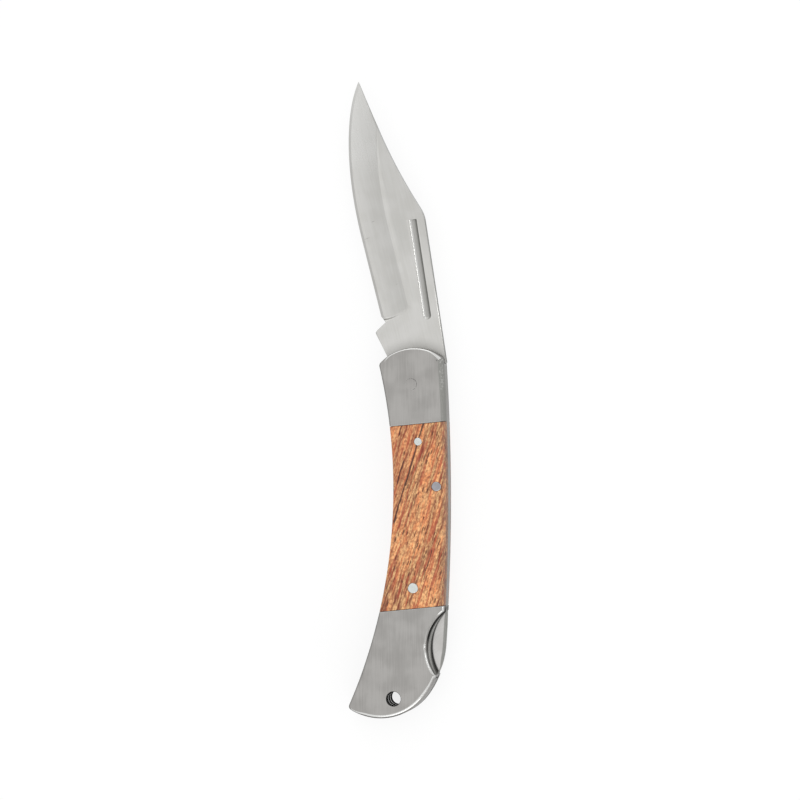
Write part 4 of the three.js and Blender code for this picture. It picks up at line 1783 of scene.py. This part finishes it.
    def row_heights(self) -> list[float]:
        """Lists each row's Y, close together where the shape turns.

        Returns:
            The heights, upwards.
        """
        rows = [-self.cam.radius * math.cos(i * math.pi / 24) for i in range(12)]
        rows += [0.0, 0.8, self.notch_back, 2.7, 3.8, 4.9, 5.79, self.stop_reach, 7.3, 8.6, 10.0, 11.4, 12.6]
        rows += [13.4, 13.8, 14.05, 14.25, 14.45, 14.65, 14.9, 15.4, 16.1, 16.8, self.choil.y]
        rows += [lerp(*self.plunge, i / 11) for i in range(12)]
        rows += [self.heel.y, 19.1, 19.6]
        while rows[-1] < self.tip.y - 2:
            rows.append(rows[-1] + (0.35 if abs(rows[-1] - self.clip_reach) < 3 else 0.7))
        return [*rows, 82.4, 82.9, 83.3, 83.6, self.tip.y]

    def column_places(self, y: float) -> list[tuple[float, float]]:
        """Places every column of the row at a Y.

        Args:
            y: The row's Y, where it meets the front and back lines.

        Returns:
            Each column's X and its height over the middle plane, still without the sheet's sweep.
        """
        grind, last, half = self.grind, self.last, self.layers.blade / 2
        left, right = x_on(self.front_line, y), x_on(self.back_line, y)
        ground = smoothstep(*self.plunge, y)
        edge, cosine = self.edge_at(y)
        reach = min(self.grind_width, (right - edge) * cosine)
        bevel = min(lerp(0.12, self.bevel_width, ground), 0.35 * reach)
        start = edge + reach / cosine
        bite = min(self.chamfer, 0.3 * (right - start))
        places = []
        for column in range(last + 1):
            if column <= grind:
                distance = lerp(bevel, reach, (column - 1) / (grind - 1)) if column else 0.0
                shown = distance / reach if reach > 0 else 0.0
                x = edge + distance / cosine + (left - edge) * (1 - shown) ** 2
                z = lerp(half if column else half - self.chamfer, self.half_at(distance), ground)
            else:
                share = (column - grind) / (last - grind - 1)
                x = right if column == last else lerp(start, right - bite, share)
                z = lerp(half, self.half_at(reach), ground) - (bite if column == last else 0)
            places.append((x, z))
        tang = smoothstep(*self.tang_end, y)
        if tang > 0:
            bite = min(self.chamfer, 0.3 * (right - left))
            inner = self.notch_floor if y >= self.notch_back else lerp(left, right, 0.87)
            low = [lerp(left + bite, inner, i / (self.notch - 1)) for i in range(self.notch)]
            steps = last - 1 - self.notch
            high = [lerp(inner, right - bite, i / steps) for i in range(1, steps + 1)]
            straight = [left, *low, *high, right]
            places = [(lerp(x, level, tang), z) for (x, z), level in zip(places, straight)]
        return places

    def _swept(self, column: int, y: float) -> float:
        """Gives how far the sheet's sweep lifts a column of the row at a Y."""
        aside = (self.last - column) / (self.last - self.grind)
        share = (column / self.grind) ** 1.7 if column <= self.grind else aside
        risen = smoothstep(self.sweep_on, self.plunge[0], y) * smoothstep(self.sweep_off, self.heel.y, y)
        return self.plunge_sweep * share * risen

    def _polish_at(self, column: int, y: float) -> float:
        """Gives the sheet's painted highlight: the hollow towards the tip and the clip's edge have it."""
        if column == self.last and y > self.choil.y:
            return self.clip_polish * smoothstep(self.clip_reach - 1, self.clip_reach + 1, y)
        return self.hollow_polish * smoothstep(*self.polish_rise, y) if column < self.grind else 0.0

    def _dull_at(self, column: int, y: float) -> float:
        """Gives the sheet's painted shade: the plunge, the flats and the spine's edge have it.

        Args:
            column: The column.
            y: The row's Y.

        Returns:
            The mark.
        """
        if column == self.last:
            return self.spine_dull * smoothstep(self.clip_reach, self.clip_reach - 2, y)
        rise = smoothstep(*self.plunge, y)
        plunge = self.plunge_dull * rise * (1 - rise) * max(0.0, 1 - column / 9)
        return self.flat_dull * smoothstep(*self.flat_rise, y) if column > self.grind else plunge

    def sheet(self) -> Solid:
        """Makes one side of the blade as an open sheet.

        Returns:
            The sheet, on the blade's middle plane.
        """
        solid, rows, last = Solid(), self.row_heights(), self.last
        lines = solid.bm.verts.layers.float.new("crease_line")
        made = bmesh.ops.create_grid(solid.bm, x_segments=last, y_segments=len(rows) - 1, size=1)["verts"]
        places = [self.column_places(y) for y in rows]
        where = {}
        for vert in made:
            column = round((vert.co.x + 1) / 2 * last)
            row = round((vert.co.y + 1) / 2 * (len(rows) - 1))
            where[vert] = row, column
            y, (x, z) = rows[row], places[row][column]
            sweep = self._swept(column, y)
            vert.co = (x + self.edge_at(y + sweep)[0] - self.edge_at(y)[0], y + sweep, z)
            if y >= self.plunge[1] and column in (1, self.grind):
                vert[lines] = 1 if column == 1 else 2
            elif column == last - 1:
                vert[lines] = 3
            # Painted highlight and painted shade of the sheet.
            vert[solid.polish] = self._polish_at(column, y)
            vert[solid.dull] = self._dull_at(column, y)
        gone = []
        for face in solid.bm.faces:
            crossed, columns = zip(*(where[v] for v in face.verts))
            in_rows = rows[min(crossed)] >= self.notch_back and rows[max(crossed)] <= self.stop_reach
            if in_rows and min(columns) >= self.notch:
                gone.append(face)
        bmesh.ops.delete(solid.bm, geom=gone, context="FACES")
        return solid.merged(1e-4)

    def closed(self) -> Solid:
        """Doubles the sheet, walls up its rim and lifts the blade to the handle's middle.

        Returns:
            The blade.
        """
        solid = self.sheet()
        rim = [e for e in solid.bm.edges if e.is_boundary]
        below = bmesh.ops.duplicate(solid.bm, geom=solid.bm.faces[:])["geom"]
        wall = bmesh.ops.extrude_edge_only(solid.bm, edges=rim)["geom"]
        for vert in only(BMVert, [*below, *wall]):
            vert.co.z = -vert.co.z
        solid.merged(1e-4)
        bmesh.ops.translate(solid.bm, verts=solid.bm.verts[:], vec=(0, 0, self.layers.middle))
        return solid.faced()

    def build(self) -> None:
        """Builds the blade, with a painted highlight on one wall of its nail pull and painted shade on the
        other.
        """
        pull = self.nail_pull
        solid = self.closed().carved(*pull.cutters(), *self.pins.bores(self.pins.pivot))
        solid.marked("polish", pull.polish_at).marked("dull", pull.dull_at)
        Piece("ground_blade", "blade", Body.BLADE, Slot.BLADE, self.finishes.blade).riding(solid)


@dataclass(frozen=True)
class Lock:
    """The lock bar, the leaf spring under its thumb pad and the butt spacer."""

    layers: Layers
    outline: HandleOutline
    pins: Pins
    finishes: Finishes
    nose_y: float = 5.75
    lug: Circle = Circle(point(0, 0), 6.45)
    lug_floor: float = 4.65
    lug_length: float = 3.9
    front_arm_inset: float = 2.3
    arm_x: float = 6.4
    kick_front: float = -4.0
    front_ramp: float = 3.1
    boss: float = 2.7
    pad_inset: float = 4.35
    pad_length: float = 18.4
    pad_ramp: float = 2.2
    pad_crown: float = 0.45
    crown_inset: float = 1.2
    crown_lead: float = 2.0
    bar_end: float = -80.713
    bar_end_gap: float = 0.2
    spring_x: float = 0.5
    spring_thickness: float = 0.7
    spring_seat: float = 5.5
    spring_gap: float = 0.1
    spring_inset: float = 1.2
    spring_ease: float = 0.08
    spacer_bevel: float = 0.05
    bar_ease: float = 0.12
    thumb_ease: float = 0.9
    thumb_dull: float = 0.55
    back_dull: float = 0.65

    @property
    def pad_y(self) -> float:
        """The thumb pad's front end."""
        return self.bar_end + self.pad_length

    @property
    def pad_x(self) -> float:
        """The thumb pad's inner side."""
        return self.outline.back_at(self.bar_end + self.pad_length / 2) - self.pad_inset

    def crown_at(self, y: float) -> float:
        """Gives how far the bar's back stands out of the handle's edge at a Y."""
        low, high = self.bar_end + self.crown_inset, self.pad_y + self.crown_lead
        t = 2 * (y - low) / (high - low) - 1
        return self.pad_crown * (1 - t**4) if abs(t) < 1 else 0.0

    def bar_outline(self, steps: int = 90) -> list[Vector]:
        """Lists the bar's outline anticlockwise, from its rear end up its back and down its inner side.

        Args:
            steps: The number of chords along its back.

        Returns:
            The outline's points.
        """
        back = [lerp(self.bar_end, self.nose_y, i / steps) for i in range(steps + 1)]
        lug_back = self.nose_y - self.lug_length
        lug_turn = math.asin(lug_back / self.lug.radius)
        front_arm = self.outline.back_at(lug_back) - self.front_arm_inset
        boss = Circle(self.pins.rocker.centre, self.boss)
        turn = math.acos((self.arm_x - boss.centre.x) / boss.radius)
        return [
            *[point(self.outline.back_at(y) + self.crown_at(y), y) for y in back],
            point(self.lug_floor, self.nose_y),
            *self.lug.arc(math.acos(self.lug_floor / self.lug.radius), lug_turn, -1),
            self.lug.at(lug_turn),
            point(front_arm, lug_back),
            point(front_arm, self.kick_front),
            point(self.arm_x, self.kick_front - self.front_ramp),
            *boss.arc(turn, -turn),
            boss.at(-turn),
            point(self.arm_x, self.pad_y + self.pad_ramp),
            point(self.pad_x, self.pad_y),
            point(self.pad_x, self.bar_end),
        ]

    def _plate(self, outline: Sequence[Vector]) -> Solid:
        """Makes a plate as thick as the blade and level with it."""
        low = self.layers.middle - self.layers.blade / 2
        return Solid.plate(outline, low, low + self.layers.blade)

    def _bar_ease(self, place: Vector) -> float:
        """Gives the rounding of the bar's rims, wider where the thumb rubs."""
        proud = self.crown_at(place.y) if place.x > self.pad_x + 2 else 0.0
        return lerp(self.bar_ease, self.thumb_ease, smoothstep(0.35, 1.0, proud / self.pad_crown))

    def _bar_dull(self, place: Vector, outward: Vector) -> float:
        """Gives the bar's thumb wear and the painted shade on its back."""
        thumbed = self.thumb_dull * smoothstep(0.2, 0.8, self._bar_ease(place))
        return max(thumbed, self.back_dull * smoothstep(0.6, 0.9, outward.x))

    def bar(self) -> Solid:
        """Makes the lock bar."""
        solid = self._plate(self.bar_outline())
        for up in (True, False):
            solid.ease(up, self._bar_ease, 5, dull_at=self._bar_dull)
        return solid.carved(*self.pins.bores(self.pins.rocker))

    def spring(self) -> Solid:
        """Makes the leaf spring, from its seat in the spacer to its tip under the pad.

        Returns:
            The spring.
        """
        half = self.spring_thickness / 2
        bend = point(self.spring_x, self.bar_end - self.bar_end_gap)
        end = point(self.pad_x - self.spring_gap - half, self.pad_y - self.spring_inset)
        middle = point(self.spring_x, (bend.y + end.y) / 2)
        line = [bend - point(0, self.spring_seat), *bezier(24, bend, middle, end)]
        aside = point(half, 0)
        solid = self._plate([*[p + aside for p in line], *[p - aside for p in reversed(line)]])
        for up in (True, False):
            solid.ease(up, lambda _: self.spring_ease, 2)
        return solid

    def build(self) -> None:
        """Builds the bar, the spring and the spacer."""
        finish = self.finishes
        Piece("rocking_lock_bar", "lock_bar", Body.LOCK_BAR, Slot.LOCK, finish.lock).riding(self.bar())
        leaf = Piece("leaf_spring", "lock_spring", Body.HANDLE, Slot.SPRING, finish.spring).place(self.spring())
        height = self.layers.middle * MM
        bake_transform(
            leaf,
            Body.HANDLE.value,
            Body.LOCK_BAR.value,
            start=(self.spring_x * MM, (self.bar_end - 1) * MM, height),
            end=(self.pad_x * MM, (self.pad_y - self.spring_inset) * MM, height),
        )
        spacer = Solid.of_node("butt_spacer")
        # The lanyard hole's wall through the spacer gets painted shade.
        spacer.marked("grime_and_shade", lambda p: float(self.pins.lanyard.beyond(p) < 0.1))
        spacer.bevelled(spacer.crisp_edges(), self.spacer_bevel)
        Piece("butt_filler", "butt_spacer", Body.HANDLE, Slot.LINER, finish.liner).riding(spacer)
        for name in ("left_bolster_rivet", "right_bolster_rivet", "upper_butt_rivet", "lower_butt_rivet"):
            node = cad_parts[name]
            node.data.materials.clear()
            node.data.materials.append(finish.pin)
            log.info("%s: kept from the frame", name)


@dataclass(frozen=True)
class Studio:
    """The pale floor, the plain soft light and the camera at the photograph's angle."""

    floor_size: float = 3.0
    floor_gap: float = 0.02
    target: Vector = Vector((-3.8, -4.3, 5.7)).freeze()
    tilt: float = math.radians(8.3)
    distance: float = 1316.0
    lens: float = 214.2
    sensor: float = 36.0
    clip: tuple[float, float] = (0.05, 20.0)
    floor_white: float = 0.95
    floor_glow: float = 1.03
    floor_share: float = 0.8
    front_loss: float = 0.24
    low_front_loss: float = 0.4
    back_loss: float = 0.3
    end_gain: float = 0.12

    def camera(self) -> None:
        """Sets the camera above the knife, leaning to its back."""
        data = bpy.data.cameras.new("camera")
        data.lens, data.sensor_width = self.lens, self.sensor
        data.clip_start, data.clip_end = self.clip
        thing = added("camera", data)
        back = Vector((math.sin(self.tilt), 0, math.cos(self.tilt)))
        right = Vector((math.cos(self.tilt), 0, -math.sin(self.tilt)))
        turn = Matrix((right, Vector((0, 1, 0)), back)).transposed().to_4x4()
        turn.translation = (self.target + back * self.distance) * MM
        thing.matrix_world = turn
        bpy.context.scene.camera = thing

    def floor(self) -> None:
        """Lays a white floor just under the knife. It keeps a faint shadow."""
        bm = bmesh.new()
        bmesh.ops.create_grid(bm, x_segments=1, y_segments=1, size=self.floor_size / 2)
        bmesh.ops.translate(bm, verts=bm.verts[:], vec=(0, 0, -self.floor_gap * MM))
        mesh = bpy.data.meshes.new("floor")
        bm.to_mesh(mesh)
        bm.free()
        material = bpy.data.materials.new("white floor")
        material.use_nodes = True
        graph = Graph(material.node_tree)
        nodes = graph.tree.nodes
        nodes.remove(nodes["Principled BSDF"])
        paint = graph.add("BsdfDiffuse", Color=(*[self.floor_white] * 3, 1.0))
        glow = graph.add("Emission", Color=(1.0, 1.0, 1.0, 1.0), Strength=self.floor_glow)
        rays = graph.add("LightPath").outputs
        mirrored = graph.math("MAXIMUM", rays["Is Glossy Ray"], rays["Is Transmission Ray"])
        share = graph.scaled(rays["Is Camera Ray"], self.floor_share, mirrored, clamp=True)
        mixed = graph.add("MixShader", Fac=share)
        graph.feed(mixed.inputs[1], paint.outputs[0])
        graph.feed(mixed.inputs[2], glow.outputs[0])
        graph.feed(nodes["Material Output"].inputs["Surface"], mixed.outputs[0])
        mesh.materials.append(material)
        added("floor", mesh)

    def world(self) -> None:
        """Surrounds the knife with a soft box: white above and at both ends, greyer to the sides."""
        world = bpy.data.worlds.new("soft box")
        bpy.context.scene.world = world
        world.use_nodes = True
        graph = Graph(world.node_tree)
        x, y, _ = graph.separated(graph.add("TexCoord").outputs["Generated"])
        low_front = graph.span(x, -0.86, -0.99, 0.0, self.low_front_loss)
        high_front = graph.span(x, -0.16, -0.55, 0.0, self.front_loss)
        front = graph.scaled(high_front, graph.span(y, 0.24, 0.04, 0.3, 1.0), low_front)
        back = graph.span(x, 0.1, 0.8, 0.0, self.back_loss)
        ends = graph.span(graph.math("ABSOLUTE", y), 0.5, 0.95, 0.0, self.end_gain)
        level = graph.minus(graph.math("ADD", ends, 1.0), graph.math("ADD", front, back))
        rays = graph.add("LightPath").outputs
        seen = graph.math("MAXIMUM", rays["Is Camera Ray"], rays["Is Transmission Ray"])
        shade = graph.add("CombineXYZ", X=level, Y=level, Z=level).outputs[0]
        background = graph.tree.nodes["Background"]
        graph.feed(background.inputs["Color"], graph.mix(seen, shade, (1.0, 1.0, 1.0, 1.0)))
        background.inputs["Strength"].default_value = 1.0

    def lamp(self, name: str, place: Sequence[float], size: Sequence[float], power: float) -> None:
        """Hangs a rectangular lamp that faces the knife.

        Args:
            name: Its name.
            place: Where it hangs, in metres.
            size: Its width and height, in metres.
            power: Its power in watts.
        """
        data = bpy.data.lights.new(name, "AREA")
        data.shape = "RECTANGLE"
        data.size, data.size_y = size
        data.energy = power
        thing = added(name, data)
        thing.location = place
        thing.rotation_euler = (-Vector(place)).to_track_quat("-Z", "Y").to_euler()

    def build(self) -> None:
        """Builds the floor, the light and the camera."""
        self.floor()
        self.world()
        self.lamp("back strip", (0.9, 0.05, 0.44), (0.6, 0.12), 0.9)
        self.lamp("butt strip", (0.25, -0.85, 0.45), (0.7, 0.25), 1.1)
        self.lamp("tip strip", (0.0, 0.9, 0.45), (0.7, 0.25), 0.8)
        self.camera()
        bpy.context.scene.view_settings.view_transform = "Standard"


def main() -> None:
    """Builds the studio and every sub-assembly of the knife."""
    logging.basicConfig(level=logging.INFO, format="%(name)s %(message)s")
    layers, outline, finishes = Layers(), HandleOutline(), Finishes()
    pins = Pins(layers)
    Studio().build()
    for assembly in (
        Blade(layers, pins, finishes),
        HandleCovers(layers, outline, pins, finishes),
        Lock(layers, outline, pins, finishes),
    ):
        log.info("building %s", type(assembly).__name__)
        assembly.build()


if __name__ == "__main__":
    main()
